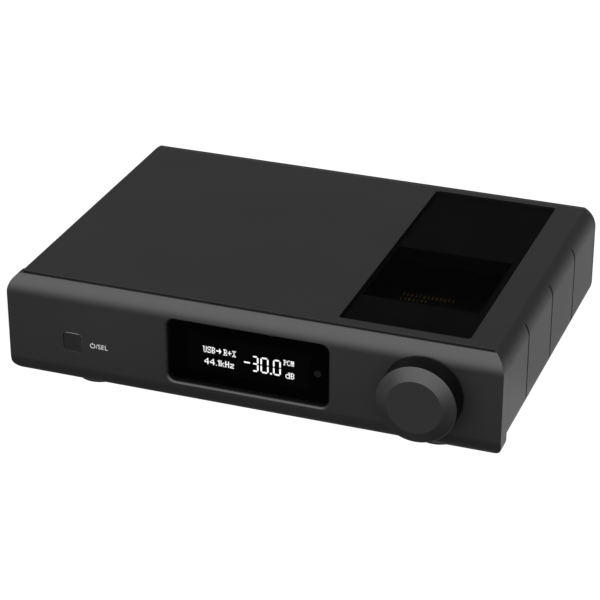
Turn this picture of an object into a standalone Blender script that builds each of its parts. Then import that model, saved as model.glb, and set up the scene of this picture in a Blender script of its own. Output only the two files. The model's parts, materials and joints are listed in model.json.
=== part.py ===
"""Desktop DAC: a low aluminium case with a display, a volume knob, a push button and a glass top window.

Millimetres below, scaled to metres when a mesh is made. X runs to the right along the front,
Y runs back, Z runs up. The origin is at the middle of the overall footprint, on the plane the feet rest on.
"""

import math

import bmesh
import bpy
from mathutils import Matrix, Vector

MM = 0.001
GAP = 0.3  # between pieces that touch on the real object

# Case
WIDTH = 222.0
DEPTH = 155.0  # front face of the front panel to the back face of the rear panel
PANEL_HEIGHT = 46.0
PANEL_DEPTH = 8.5
FOOT_DROP = 7.0  # the feet reach this far below the front panel
CASE_LIFT = 2.0  # the case sides end this far above the front panel's lower edge
WALL = 2.0
EDGE_RADIUS = 10.0  # radius of every long rounding
PANEL_TOP_INSET = 4.4  # how far a rounding reaches in before it meets the flat face in a crease
PANEL_BOTTOM_INSET = 3.6
PANEL_CORNER_RADIUS = 5.0  # of the front panel's lower corners
PANEL_CORNER_INSET = 3.4
CASE_TOP_INSET = 5.6
CASE_BOTTOM_INSET = 3.6
ARC_STEPS = 8

# What stands out beyond the case, which sets where the origin is
KNOB_OUT = 13.2
JACK_OUT = 8.5
FRONT_Y = (KNOB_OUT - DEPTH - JACK_OUT) / 2
REAR_Y = FRONT_Y + DEPTH
PANEL_Z = FOOT_DROP
CASE_Z = PANEL_Z + CASE_LIFT
TOP_Z = PANEL_Z + PANEL_HEIGHT
COVER_FRONT_Y = FRONT_Y + 7.0
SIDE_FRONT_Y = FRONT_Y + PANEL_DEPTH + GAP
REAR_PLATE = 2.0
COVER_REAR_Y = REAR_Y - REAR_PLATE - GAP

# Front panel
FRONT_WALL = 4.0
CHANNEL_FRONT = 4.9  # the shadow line between front panel and cover
CHANNEL_DEEP = 1.0
CHEEK_X = 105.2  # outside this the front panel keeps its full depth
LENS_Z = PANEL_Z + 23.4
LENS_SIZE = (72.3, 29.0)
LENS_THICK = 2.0
LENS_RECESS = 1.2
LENS_CHAMFER = 0.65  # round the opening that the lens sits back in
LENS_CORNER = 3.4
LENS_APERTURE = (66.8, 23.0)
BUTTON_AT = (-80.6, PANEL_Z + 18.9)
BUTTON_SIZE = 8.6
BUTTON_CORNER = 1.7
BUTTON_RECESS = 0.35
KNOB_AT = (77.6, PANEL_Z + 24.3)
KNOB_RADIUS = 17.3
KNOB_FACE_RADIUS = 11.9
KNOB_CONE = 2.5  # how far the sloping ring falls back from the flat face to the rim
KNOB_CLEAR = 0.8  # behind the knob, more than its push travel
SHAFT_RADIUS = 3.0
BUSH_RADIUS = 4.4
FRONT_BOARD_Y = FRONT_Y + 11.3

# Top window
WINDOW_X = (36.6, 92.9)
WINDOW_Y = (FRONT_Y + 12.5, FRONT_Y + 149.7)
WINDOW_CORNER = 1.2
CLEAR_X = (37.2, 89.1)
CLEAR_Y = (FRONT_Y + 39.7, FRONT_Y + 90.7)
BRACKET_RIM = 3.6
BRACKET_THICK = 1.5
SKIRT_DEEP = 7.0
SKIRT_WALL = 1.2

# Sides, underside and feet
GROOVE_YS = [FRONT_Y + DEPTH * share for share in (0.25, 0.5, 0.75)]
GROOVE_WIDE = 1.4
GROOVE_DEEP = 0.9
GROOVE_TOP_ANGLE = math.radians(32)
BASE_THICK = 1.5
BASE_X = 103.0
FOOT_RADIUS = 10.2
FOOT_X = 78.3
FOOT_INSET = 22.7
PAD_RADIUS = 8.6
PAD_PROUD = 0.4
PAD_THICK = 1.3

# Boards
BOARD_THICK = 1.6
STANDOFF_RADIUS = 3.0
BOARD_Z = CASE_Z + BASE_THICK + 4.5
BOARD_TOP = BOARD_Z + BOARD_THICK
BOARD_X = 100.0
BOARD_Y = (FRONT_Y + 18.0, REAR_Y - 4.0)
LADDER_Z = PANEL_Z + 21.0
LADDER_X = (37.0, 93.0)
LADDER_Y = (FRONT_Y + 30.0, FRONT_Y + 92.0)

# Rear sockets: centres as (x, z)
REAR_MID_Z = PANEL_Z + 25.0
REAR_LOW_Z = PANEL_Z + 16.0
REAR_HIGH_Z = PANEL_Z + 34.0
INLET_AT = (-86.0, REAR_MID_Z)
ROCKER_AT = (-61.0, REAR_MID_Z)
TRIGGER_XS = -47.0
ANTENNA_AT = (-34.0, REAR_HIGH_Z)
USB_AT = (-34.0, REAR_LOW_Z)
OPTICAL_AT = (-16.0, REAR_HIGH_Z)
DIGITAL_AT = (-16.0, REAR_LOW_Z)
COAX_AT = (1.0, REAR_LOW_Z)
BALANCED_IN_AT = (20.0, REAR_MID_Z)
PHONO_X = 42.0
BALANCED_OUT_XS = {"left": 65.0, "right": 91.0}
PHONO_RADIUS = 4.6
BALANCED_RADIUS = 9.4
ROCKER_TILT = math.radians(12)

AXES = {  # local X, Y and Z of a flat outline or a turned profile, in world axes
    "X": Matrix(((0, 0, 1), (1, 0, 0), (0, 1, 0))).to_4x4(),
    "Y": Matrix(((1, 0, 0), (0, 0, -1), (0, 1, 0))).to_4x4(),
    "Z": Matrix.Identity(4),
    "back": Matrix(((1, 0, 0), (0, 0, 1), (0, -1, 0))).to_4x4(),
}


def clear_scene():
    for obj in list(bpy.data.objects):
        bpy.data.objects.remove(obj, do_unlink=True)


def new_collection(name):
    collection = bpy.data.collections.new(name)
    bpy.context.scene.collection.children.link(collection)
    return collection


def make_material(name, colour, roughness, metallic=0.0, alpha=1.0):
    material = bpy.data.materials.new(name)
    material.use_nodes = True
    shader = material.node_tree.nodes["Principled BSDF"]
    shader.inputs["Base Color"].default_value = (*colour, 1.0)
    shader.inputs["Roughness"].default_value = roughness
    shader.inputs["Metallic"].default_value = metallic
    shader.inputs["Alpha"].default_value = alpha
    return material


def add_object(name, mesh, material, at=(0, 0, 0)):
    """Links a mesh as one sub-part, with its origin at the given place in millimetres."""
    obj = bpy.data.objects.new(name, mesh)
    obj.location = Vector(at) * MM
    if material:
        mesh.materials.clear()
        mesh.materials.append(material)
    parts.objects.link(obj)
    return obj


def smooth(mesh, angle=35):
    mesh.shade_smooth()
    mesh.set_sharp_from_angle(angle=math.radians(angle))


def box_mesh(name, low, high, middle):
    """A box between two corners, as a mesh around the given middle."""
    bm = bmesh.new()
    bmesh.ops.create_cube(bm, size=1.0)
    size = [b - a for a, b in zip(low, high)]
    offset = [(a + b) / 2 - c for a, b, c in zip(low, high, middle)]
    bmesh.ops.scale(bm, vec=Vector(size) * MM, verts=bm.verts)
    bmesh.ops.translate(bm, vec=Vector(offset) * MM, verts=bm.verts)
    mesh = bpy.data.meshes.new(name)
    bm.to_mesh(mesh)
    bm.free()
    return mesh


def box(name, low, high, material=None, bevel=0.0):
    middle = [(a + b) / 2 for a, b in zip(low, high)]
    obj = add_object(name, box_mesh(name, low, high, middle), material, middle)
    if bevel:
        add_bevel(obj, bevel, 1)
    return obj


def add_bevel(obj, width, segments):
    modifier = obj.modifiers.new("Bevel", "BEVEL")
    modifier.width = width * MM
    modifier.segments = segments
    modifier.limit_method = "ANGLE"
    modifier.angle_limit = math.radians(40)


def outline_mesh(name, outlines, thickness, axis):
    """A closed mesh of flat outlines, the later ones holes, given its thickness along the axis."""
    curve = bpy.data.curves.new(name, "CURVE")
    curve.dimensions = "2D"
    curve.fill_mode = "BOTH"
    curve.extrude = thickness / 2 * MM
    for outline in outlines:
        spline = curve.splines.new("POLY")
        spline.points.add(len(outline) - 1)
        for point, (u, v) in zip(spline.points, outline):
            point.co = (u * MM, v * MM, 0.0, 1.0)
        spline.use_cyclic_u = True
    guide = bpy.data.objects.new(name, curve)
    bpy.context.scene.collection.objects.link(guide)
    graph = bpy.context.evaluated_depsgraph_get()
    mesh = bpy.data.meshes.new_from_object(guide.evaluated_get(graph))
    bpy.data.objects.remove(guide)
    bm = bmesh.new()
    bm.from_mesh(mesh)
    bmesh.ops.remove_doubles(bm, verts=bm.verts, dist=1e-6)
    bmesh.ops.transform(bm, matrix=AXES[axis], verts=bm.verts)
    bmesh.ops.recalc_face_normals(bm, faces=bm.faces)
    bm.to_mesh(mesh)
    bm.free()
    return mesh


def slab(name, outlines, thickness, axis, at, material=None):
    """A flat outline with thickness, centred on the given place."""
    mesh = outline_mesh(name, outlines, thickness, axis)
    smooth(mesh)
    return add_object(name, mesh, material, at)


def tapered(name, near, far, thickness, axis, at):
    """A closed solid between two outlines of equal point counts, the near one furthest along the axis."""
    bm = bmesh.new()
    rings = []
    for outline, height in ((far, -thickness / 2), (near, thickness / 2)):
        rings.append([bm.verts.new((u * MM, v * MM, height * MM)) for u, v in outline])
        bm.faces.new(rings[-1])
    count = len(near)
    for number in range(count):
        after = (number + 1) % count
        bm.faces.new((rings[0][number], rings[0][after], rings[1][after], rings[1][number]))
    bmesh.ops.transform(bm, matrix=AXES[axis], verts=bm.verts)
    bmesh.ops.recalc_face_normals(bm, faces=bm.faces)
    mesh = bpy.data.meshes.new(name)
    bm.to_mesh(mesh)
    bm.free()
    return add_object(name, mesh, None, at)


def turned(name, profile, axis, at, material=None, steps=32, ring=False):
    """A profile of (radius, height) points, running down its outer side, turned about the axis."""
    bm = bmesh.new()
    verts = [bm.verts.new((radius * MM, 0.0, height * MM)) for radius, height in profile]
    for first, second in zip(verts, verts[1:]):
        bm.edges.new((first, second))
    if ring:
        bm.edges.new((verts[-1], verts[0]))
    mesh = bpy.data.meshes.new(name)
    bm.to_mesh(mesh)
    bm.free()
    obj = add_object(name, mesh, material, at)
    obj.matrix_world = Matrix.Translation(obj.location) @ AXES[axis]
    screw = obj.modifiers.new("Screw", "SCREW")
    screw.steps = steps
    screw.render_steps = steps
    screw.use_merge_vertices = True
    screw.merge_threshold = 1e-6
    screw.use_smooth_shade = True
    return obj


def combine(obj, operation, *others):
    """Adds one Boolean for each other shape, and puts those shapes away among the cutters."""
    for other in others:
        modifier = obj.modifiers.new(other.name, "BOOLEAN")
        modifier.operation = operation
        modifier.object = other
        if other.name in parts.objects:
            parts.objects.unlink(other)
            cutters.objects.link(other)
        other.hide_render = True
        other.display_type = "WIRE"
    return obj


def cut(obj, *others):
    return combine(obj, "DIFFERENCE", *others)


def join(obj, *others):
    return combine(obj, "UNION", *others)


def rounded(width, height, corner, middle=(0.0, 0.0), steps=5):
    """A rectangle with round corners, anticlockwise."""
    points = []
    for quarter in range(4):
        side_u = 1 if quarter in (0, 3) else -1
        side_v = 1 if quarter in (0, 1) else -1
        for step in range(steps + 1):
            angle = math.pi / 2 * (quarter + step / steps)
            u = side_u * (width / 2 - corner) + corner * math.cos(angle)
            v = side_v * (height / 2 - corner) + corner * math.sin(angle)
            points.append((middle[0] + u, middle[1] + v))
    return points


def circle(radius, middle=(0.0, 0.0), steps=32):
    turns = [2 * math.pi * step / steps for step in range(steps)]
    return [(middle[0] + radius * math.cos(a), middle[1] + radius * math.sin(a)) for a in turns]


def crease_angle(inset):
    """How far round its radius an edge turns before the flat face cuts it off."""
    return math.acos(1 - inset / EDGE_RADIUS)


def edge_arc(inset, shrink=0.0, stop=None):
    """(in from the side, down from the flat face) along one rounding, from the side to the flat face."""
    rise = EDGE_RADIUS * math.sin(crease_angle(inset))
    radius = EDGE_RADIUS - shrink
    last = math.asin((rise - shrink) / radius) if stop is None else stop
    angles = [last * step / ARC_STEPS for step in range(ARC_STEPS + 1)]
    return [(EDGE_RADIUS - radius * math.cos(a), rise - radius * math.sin(a)) for a in angles]


def half_section(bottom, top_inset, bottom_inset, shrink=0.0):
    """The right half of a case section as (x, z), from the bottom crease up to the top crease."""
    half = WIDTH / 2
    upper = [(half - u, TOP_Z - v) for u, v in edge_arc(top_inset, shrink)]
    if shrink:
        rise = EDGE_RADIUS * math.sin(crease_angle(bottom_inset))
        stop = math.asin(rise / (EDGE_RADIUS - shrink))
        lower = [(half - u, bottom + v) for u, v in edge_arc(bottom_inset, shrink, stop)]
    else:
        lower = [(half - u, bottom + v) for u, v in edge_arc(bottom_inset)]
    return lower[::-1] + upper


def mirrored(points):
    return [(-x, z) for x, z in reversed(points)]


def panel_outline():
    """The front panel's outline as (x, z), which has tighter lower corners than the cover."""
    radius = PANEL_CORNER_RADIUS
    last = math.acos(1 - PANEL_CORNER_INSET / radius)
    angles = [last * step / ARC_STEPS for step in range(ARC_STEPS, -1, -1)]
    side, level = WIDTH / 2 - radius, PANEL_Z + radius * math.sin(last)
    half = [(side + radius * math.cos(a), level - radius * math.sin(a)) for a in angles]
    half += [(WIDTH / 2 - u, TOP_Z - v) for u, v in edge_arc(PANEL_TOP_INSET)]
    return half + mirrored(half)


def front_section():
    """The front panel's section as (y, z), measured from its front face."""
    lower = [(u, PANEL_Z + v) for u, v in edge_arc(PANEL_BOTTOM_INSET)]
    upper = [(u, TOP_Z - v) for u, v in edge_arc(PANEL_TOP_INSET)]
    return [(PANEL_DEPTH, PANEL_Z)] + lower[::-1] + upper + [(PANEL_DEPTH, TOP_Z)]


def make_front_panel():
    panel = slab("front_panel", [front_section()], WIDTH + 2, "X", (0, FRONT_Y, 0), black_metal)
    middle_y = FRONT_Y + PANEL_DEPTH / 2
    outline = slab("panel_ends", [panel_outline()], PANEL_DEPTH + 4, "Y", (0, middle_y, 0))
    combine(panel, "INTERSECT", outline)
    back_y = FRONT_Y + PANEL_DEPTH + 1
    wall_y = FRONT_Y + FRONT_WALL
    cut(
        panel,
        box("panel_hollow", (-104, wall_y, PANEL_Z + 5), (104, back_y, TOP_Z - 5.5)),
        box(
            "cover_seat",
            (-CHEEK_X, COVER_FRONT_Y - GAP, TOP_Z - WALL - GAP),
            (CHEEK_X, back_y, TOP_Z + 1),
        ),
        box(
            "shadow_line",
            (-CHEEK_X, FRONT_Y + CHANNEL_FRONT, TOP_Z - CHANNEL_DEEP),
            (CHEEK_X, back_y, TOP_Z + 1),
        ),
    )
    pocket_deep = LENS_RECESS + LENS_THICK + GAP
    pocket_size = [side + 2 * GAP for side in LENS_SIZE]
    pocket = rounded(*pocket_size, LENS_CORNER + GAP)
    reach = LENS_CHAMFER + 0.5
    mouth = rounded(*[side + 2 * reach for side in pocket_size], LENS_CORNER + GAP + reach)
    mouth_y = FRONT_Y + LENS_CHAMFER - reach / 2
    button_hole = rounded(BUTTON_SIZE + 2 * GAP, BUTTON_SIZE + 2 * GAP, BUTTON_CORNER + GAP)
    cut(
        panel,
        slab("lens_pocket", [pocket], 2 * pocket_deep, "Y", (0, FRONT_Y, LENS_Z)),
        tapered("lens_chamfer", mouth, pocket, reach, "Y", (0, mouth_y, LENS_Z)),
        slab("lens_aperture", [rounded(*LENS_APERTURE, 2.0)], 12, "Y", (0, FRONT_Y + 4, LENS_Z)),
        slab("button_hole", [button_hole], 12, "Y", (BUTTON_AT[0], FRONT_Y, BUTTON_AT[1])),
        slab("bush_hole", [circle(BUSH_RADIUS + GAP)], 12, "Y", (KNOB_AT[0], FRONT_Y, KNOB_AT[1])),
    )


def make_top_cover():
    """Top and sides in one, from a bent section, with the window cut-out and three grooves a side."""
    outer = half_section(CASE_Z, CASE_TOP_INSET, CASE_BOTTOM_INSET)
    inner = half_section(CASE_Z, CASE_TOP_INSET, CASE_BOTTOM_INSET, WALL)
    section = outer + mirrored(outer) + [(-x, z) for x, z in inner] + inner[::-1]
    length = COVER_REAR_Y - COVER_FRONT_Y
    middle_y = (COVER_REAR_Y + COVER_FRONT_Y) / 2
    cover = slab("top_cover", [section], length, "Y", (0, middle_y, 0), black_metal)
    side = CHEEK_X - GAP
    low = (-WIDTH, COVER_FRONT_Y - 1, CASE_Z - 1)
    cut(cover, box("cover_lips", low, (WIDTH, SIDE_FRONT_Y, TOP_Z - WALL - 1)))
    for sign, name in ((-1, "left"), (1, "right")):
        xs = sorted((sign * side, sign * (WIDTH / 2 + 2)))
        low = (xs[0], COVER_FRONT_Y - 1, CASE_Z - 1)
        cut(cover, box(f"cheek_{name}", low, (xs[1], SIDE_FRONT_Y, TOP_Z + 1)))
        for number, groove_y in enumerate(GROOVE_YS, 1):
            cut(cover, make_groove(f"groove_{name}_{number}", sign, groove_y))
    width = WINDOW_X[1] - WINDOW_X[0] + 2 * GAP
    length = WINDOW_Y[1] - WINDOW_Y[0] + 2 * GAP
    opening = rounded(width, length, WINDOW_CORNER + GAP)
    middle = (sum(WINDOW_X) / 2, sum(WINDOW_Y) / 2, TOP_Z)
    cut(cover, slab("window_opening", [opening], 3 * WALL, "Z", middle))


def make_groove(name, sign, groove_y):
    """A thin slice that follows the side's section just under its surface."""
    half = WIDTH / 2
    upper = edge_arc(CASE_TOP_INSET, GROOVE_DEEP, GROOVE_TOP_ANGLE)
    lower = edge_arc(CASE_BOTTOM_INSET, GROOVE_DEEP)
    path = [(half - u, TOP_Z - v) for u, v in reversed(upper)]
    path += [(half - u, CASE_Z + v) for u, v in lower]
    path += [(path[-1][0], CASE_Z - 1), (half + 1, CASE_Z - 1), (half + 1, path[0][1] + 3)]
    path += [(path[0][0] + 2, path[0][1] + 3)]
    outline = [(sign * x, z) for x, z in path]
    return slab(name, [outline], GROOVE_WIDE, "Y", (0, groove_y, 0))


def make_bottom_plate():
    ys = (SIDE_FRONT_Y, COVER_REAR_Y)
    middle = (0, sum(ys) / 2, CASE_Z + BASE_THICK / 2)
    outlines = [rounded(2 * BASE_X, ys[1] - ys[0], 1.0)]
    for column in (-1, 1):
        for row in range(6):
            slot_at = (column * 30.0, 8.0 * (row - 2.5))
            outlines.append(rounded(34.0, 2.2, 1.09, slot_at, 2))
    slab("bottom_plate", outlines, BASE_THICK, "Z", middle, black_metal)


def make_feet():
    feet_ys = {"front": FRONT_Y + FOOT_INSET, "rear": REAR_Y - FOOT_INSET}
    height = CASE_Z - GAP
    pad_top = PAD_THICK + GAP
    cup = [(0, height), (FOOT_RADIUS - 1.2, height), (FOOT_RADIUS - 1.0, height - 1.4)]
    cup += [(FOOT_RADIUS, height - 2.2), (FOOT_RADIUS, PAD_PROUD + 0.3)]
    cup += [(FOOT_RADIUS - 0.3, PAD_PROUD), (PAD_RADIUS + GAP, PAD_PROUD)]
    cup += [(PAD_RADIUS + GAP, pad_top), (0, pad_top)]
    pad = [(0, PAD_THICK), (PAD_RADIUS, PAD_THICK), (PAD_RADIUS, 0.4), (PAD_RADIUS - 0.4, 0), (0, 0)]
    for end, foot_y in feet_ys.items():
        for side, sign in (("left", -1), ("right", 1)):
            at = (sign * FOOT_X, foot_y, 0)
            turned(f"foot_{end}_{side}", cup, "Z", at, black_plastic)
            turned(f"foot_pad_{end}_{side}", pad, "Z", at, rubber)


def make_rear_panel():
    half = half_section(CASE_Z, CASE_TOP_INSET, CASE_BOTTOM_INSET)
    outlines = [half + mirrored(half)]
    outlines.append(rounded(26.6 + 2 * GAP, 19.6 + 2 * GAP, 2.3, INLET_AT))
    outlines.append(rounded(13.0 + 2 * GAP, 19.4 + 2 * GAP, 1.3, ROCKER_AT))
    outlines.append(rounded(12.0 + 2 * GAP, 10.8 + 2 * GAP, 0.8, USB_AT))
    outlines.append(rounded(9.6 + 2 * GAP, 9.6 + 2 * GAP, 0.8, OPTICAL_AT))
    outlines.append(rounded(15.4 + 2 * GAP, 6.4 + 2 * GAP, 1.0, DIGITAL_AT))
    for height in (REAR_LOW_Z, REAR_HIGH_Z):
        outlines.append(circle(3.3 + GAP, (TRIGGER_XS, height), 20))
        outlines.append(circle(PHONO_RADIUS + GAP, (PHONO_X, height), 24))
    outlines.append(circle(3.3 + GAP, ANTENNA_AT, 20))
    outlines.append(circle(PHONO_RADIUS + GAP, COAX_AT, 24))
    outlines.append(circle(BALANCED_RADIUS + GAP, BALANCED_IN_AT))
    for out_x in BALANCED_OUT_XS.values():
        outlines.append(circle(BALANCED_RADIUS + GAP, (out_x, REAR_MID_Z)))
    slab("rear_panel", outlines, REAR_PLATE, "Y", (0, REAR_Y - REAR_PLATE / 2, 0), black_metal)


def make_top_window():
    size = (WINDOW_X[1] - WINDOW_X[0], WINDOW_Y[1] - WINDOW_Y[0])
    middle = (sum(WINDOW_X) / 2, sum(WINDOW_Y) / 2)
    outline = rounded(*size, WINDOW_CORNER)
    glass_at = (*middle, TOP_Z - WALL / 2)
    slab("top_window", [outline], WALL, "Z", glass_at, smoked_glass)
    seat = rounded(size[0] + 2 * BRACKET_RIM, size[1] + 2 * BRACKET_RIM - 4, 3.0)
    clear = (CLEAR_X[1] - CLEAR_X[0], CLEAR_Y[1] - CLEAR_Y[0])
    offset = (sum(CLEAR_X) / 2 - middle[0], sum(CLEAR_Y) / 2 - middle[1])
    bracket_top = TOP_Z - WALL - GAP
    bracket = slab(
        "window_bracket",
        [seat, rounded(*clear, 1.0, offset)],
        BRACKET_THICK,
        "Z",
        (*middle, bracket_top - BRACKET_THICK / 2),
        black_plastic,
    )
    outer = rounded(clear[0] + 2 * SKIRT_WALL, clear[1] + 2 * SKIRT_WALL, 1.0 + SKIRT_WALL)
    skirt_at = (sum(CLEAR_X) / 2, sum(CLEAR_Y) / 2, bracket_top - SKIRT_DEEP / 2 - 0.1)
    skirt = slab("window_skirt", [outer, rounded(*clear, 1.0)], SKIRT_DEEP, "Z", skirt_at)
    join(bracket, skirt)


def make_display():
    lens_y = FRONT_Y + LENS_RECESS + LENS_THICK / 2
    lens = [rounded(*LENS_SIZE, LENS_CORNER)]
    slab("display_window", lens, LENS_THICK, "Y", (0, lens_y, LENS_Z), smoked_glass)
    module_y = (FRONT_Y + 4.6, FRONT_BOARD_Y - GAP)
    low = (-31.5, module_y[0], LENS_Z - 12.0)
    box("display_module", low, (28.7, module_y[1], LENS_Z + 9.4), screen_glass, 0.4)
    eye_at = (30.8, FRONT_Y + 7.6, LENS_Z - 0.6)
    low = (29.1, FRONT_Y + 5.6, eye_at[2] - 3.0)
    high = (32.5, FRONT_BOARD_Y - GAP, eye_at[2] + 3.0)
    eye = box("infrared_receiver", low, high, black_plastic)
    lens_dome = turned("receiver_dome", dome_profile(1.5, 2.6), "Y", eye_at, None, 20)
    join(eye, lens_dome)


def dome_profile(radius, height):
    """A round-ended stub whose flat back is at height zero."""
    angles = [math.pi / 2 * step / 4 for step in range(5)]
    top = [(radius * math.sin(a), height - radius + radius * math.cos(a)) for a in angles]
    return top + [(radius, 0.0), (0.0, 0.0)]


def make_power_button():
    face_y = FRONT_Y + BUTTON_RECESS
    flange_y = FRONT_Y + FRONT_WALL + GAP
    cap_deep = flange_y + 0.5 - face_y
    cap_outline = rounded(BUTTON_SIZE, BUTTON_SIZE, BUTTON_CORNER)
    cap_at = (BUTTON_AT[0], face_y + cap_deep / 2, BUTTON_AT[1])
    cap = slab("power_button", [cap_outline], cap_deep, "Y", cap_at, black_plastic)
    flange_at = (BUTTON_AT[0], flange_y + 0.5, BUTTON_AT[1])
    flange = slab("button_flange", [rounded(11.4, 11.4, 1.8)], 1.0, "Y", flange_at)
    join(cap, flange)
    stem_at = (BUTTON_AT[0], flange_y + 1.0 + GAP + 1.3, BUTTON_AT[1])
    slab("switch_plunger", [circle(1.4, steps=20)], 2.6, "Y", stem_at, black_plastic)
    switch_front = FRONT_Y + 7.4
    low = (BUTTON_AT[0] - 3.0, switch_front, BUTTON_AT[1] - 3.0)
    high = (BUTTON_AT[0] + 3.0, FRONT_BOARD_Y - GAP, BUTTON_AT[1] + 3.0)
    switch = box("power_switch", low, high, bright_metal)
    well_at = (BUTTON_AT[0], switch_front, BUTTON_AT[1])
    cut(switch, slab("switch_well", [circle(1.4 + GAP, steps=20)], 3.6, "Y", well_at))


def make_knob():
    """The turned knob, its shaft and screw, all about one axis that runs back along Y."""
    front = KNOB_OUT
    rim = front - KNOB_CONE
    profile = [(0, front), (KNOB_FACE_RADIUS, front), (KNOB_RADIUS - 0.3, rim)]
    profile += [(KNOB_RADIUS, rim - 0.3), (KNOB_RADIUS, KNOB_CLEAR + 0.4)]
    profile += [(KNOB_RADIUS - 0.4, KNOB_CLEAR), (9.0, KNOB_CLEAR), (9.0, 4.6)]
    profile += [(SHAFT_RADIUS + GAP, 4.6), (SHAFT_RADIUS + GAP, front - 2.6), (0, front - 2.6)]
    at = (KNOB_AT[0], FRONT_Y, KNOB_AT[1])
    knob = turned("volume_knob", profile, "Y", at, black_metal, 72)
    screw_y = FRONT_Y - 7.2
    hole_at = (KNOB_AT[0], screw_y, KNOB_AT[1] - 12.0)
    cut(knob, slab("screw_hole", [circle(1.5, steps=16)], 20.0, "Z", hole_at))
    screw_at = (KNOB_AT[0], screw_y, KNOB_AT[1] - 5.9)
    screw = slab("knob_set_screw", [circle(1.2, steps=16)], 5.0, "Z", screw_at, bright_metal)
    hexagon = circle(0.65, steps=6)
    socket_at = (KNOB_AT[0], screw_y, KNOB_AT[1] - 8.4)
    cut(screw, slab("screw_socket", [hexagon], 2.4, "Z", socket_at))
    shaft = [(0, front - 2.9), (SHAFT_RADIUS - 0.4, front - 2.9), (SHAFT_RADIUS, front - 3.3)]
    shaft += [(SHAFT_RADIUS, -8.0), (0, -8.0)]
    turned("encoder_shaft", shaft, "Y", at, bright_metal, 24)


def make_encoder():
    at = (KNOB_AT[0], FRONT_Y, KNOB_AT[1])
    bore = SHAFT_RADIUS + GAP
    bush = [(BUSH_RADIUS, 3.4), (BUSH_RADIUS, -FRONT_WALL), (bore, -FRONT_WALL), (bore, 3.4)]
    turned("encoder_bush", bush, "Y", at, bright_metal, 24, ring=True)
    nut = [circle(6.35, steps=6), circle(BUSH_RADIUS + GAP, steps=24)]
    slab("encoder_nut", nut, 2.0, "Y", (KNOB_AT[0], FRONT_Y - 1.3, KNOB_AT[1]), bright_metal)
    front_y = FRONT_Y + FRONT_WALL + GAP
    low = (KNOB_AT[0] - 6.6, front_y, KNOB_AT[1] - 6.6)
    high = (KNOB_AT[0] + 6.6, FRONT_BOARD_Y - GAP, KNOB_AT[1] + 6.6)
    body = box("encoder_body", low, high, black_plastic, 0.4)
    well_at = (KNOB_AT[0], front_y, KNOB_AT[1])
    cut(body, slab("encoder_well", [circle(bore, steps=24)], 11.4, "Y", well_at))
    plate_at = (KNOB_AT[0], FRONT_Y + 8.3 + 0.35, KNOB_AT[1])
    slab("encoder_push_plate", [circle(2.8, steps=20)], 0.7, "Y", plate_at, bright_metal)


def make_boards():
    low = (-99.0, FRONT_BOARD_Y, PANEL_Z + 6.5)
    box("front_board", low, (99.0, FRONT_BOARD_Y + BOARD_THICK, TOP_Z - 6.5), circuit_board)
    box("main_board", (-BOARD_X, BOARD_Y[0], BOARD_Z), (BOARD_X, BOARD_Y[1], BOARD_TOP), circuit_board)
    low = (LADDER_X[0], LADDER_Y[0], LADDER_Z)
    box("ladder_board", low, (LADDER_X[1], LADDER_Y[1], LADDER_Z + BOARD_THICK), circuit_board)
    floor = CASE_Z + BASE_THICK + GAP
    spots = [(x, y) for y in (BOARD_Y[0] + 5, BOARD_Y[1] - 5) for x in (5 - BOARD_X, BOARD_X - 5)]
    for number, (x, y) in enumerate(spots, 1):
        height = BOARD_Z - GAP - floor
        at = (x, y, floor + height / 2)
        slab(f"board_standoff_{number}", [circle(STANDOFF_RADIUS, steps=6)], height, "Z", at, brass)
    height = LADDER_Z - BOARD_TOP - 2 * GAP
    for number, y in enumerate((LADDER_Y[0] + 4, LADDER_Y[1] - 4), 1):
        at = (LADDER_X[1] - 4, y, BOARD_TOP + GAP + height / 2)
        slab(f"ladder_pillar_{number}", [circle(STANDOFF_RADIUS, steps=6)], height, "Z", at, brass)
    make_ribbon()


def make_ribbon():
    """The flat lead from the front board down to the main board."""
    start_y = FRONT_BOARD_Y + BOARD_THICK + 0.7
    drop = BOARD_TOP + GAP
    route = [(start_y, drop + 7), (start_y + 2.4, drop + 6.4), (start_y + 4.0, drop + 4.6)]
    route += [(start_y + 4.6, drop + 2.4), (start_y + 4.6, drop)]
    bm = bmesh.new()
    verts = [bm.verts.new((-10 * MM, y * MM, z * MM)) for y, z in route]
    edges = [bm.edges.new(pair) for pair in zip(verts, verts[1:])]
    swept = bmesh.ops.extrude_edge_only(bm, edges=edges)["geom"]
    moved = [item for item in swept if isinstance(item, bmesh.types.BMVert)]
    bmesh.ops.translate(bm, vec=(20 * MM, 0, 0), verts=moved)
    mesh = bpy.data.meshes.new("front_ribbon")
    bm.to_mesh(mesh)
    bm.free()
    ribbon = add_object("front_ribbon", mesh, grey_plastic)
    solid = ribbon.modifiers.new("Solidify", "SOLIDIFY")
    solid.thickness = 0.6 * MM
    solid.offset = 0.0


def make_components():
    floor = BOARD_TOP + GAP
    radius, hole, height = 23.0, 8.0, 24.0
    soft = 5.0
    ring = [(radius - soft, height), (radius, height - soft), (radius, soft), (radius - soft, 0)]
    ring += [(hole + 3, 0), (hole, 3), (hole, height - 3), (hole + 3, height)]
    transformer_at = (-70.0, FRONT_Y + 52.0, floor)
    turned("transformer", ring, "Z", transformer_at, copper_tape, 28, ring=True)
    can = [(0, 20), (5.4, 20), (6, 19.2), (6, 0), (0, 0)]
    for number in range(4):
        at = (-34.0 + 15.0 * number, FRONT_Y + 58.0, floor)
        turned(f"filter_capacitor_{number + 1}", can, "Z", at, black_plastic, 24)
    chip_y = FRONT_Y + 96.0
    box("control_chip", (-12, chip_y, floor), (4, chip_y + 16, floor + 1.6), black_plastic)
    low = (LADDER_X[0] + 1, LADDER_Y[0] + 8, floor)
    high = (LADDER_X[0] + 4, LADDER_Y[1] - 8, LADDER_Z - GAP)
    box("ladder_header", low, high, black_plastic)


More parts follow.
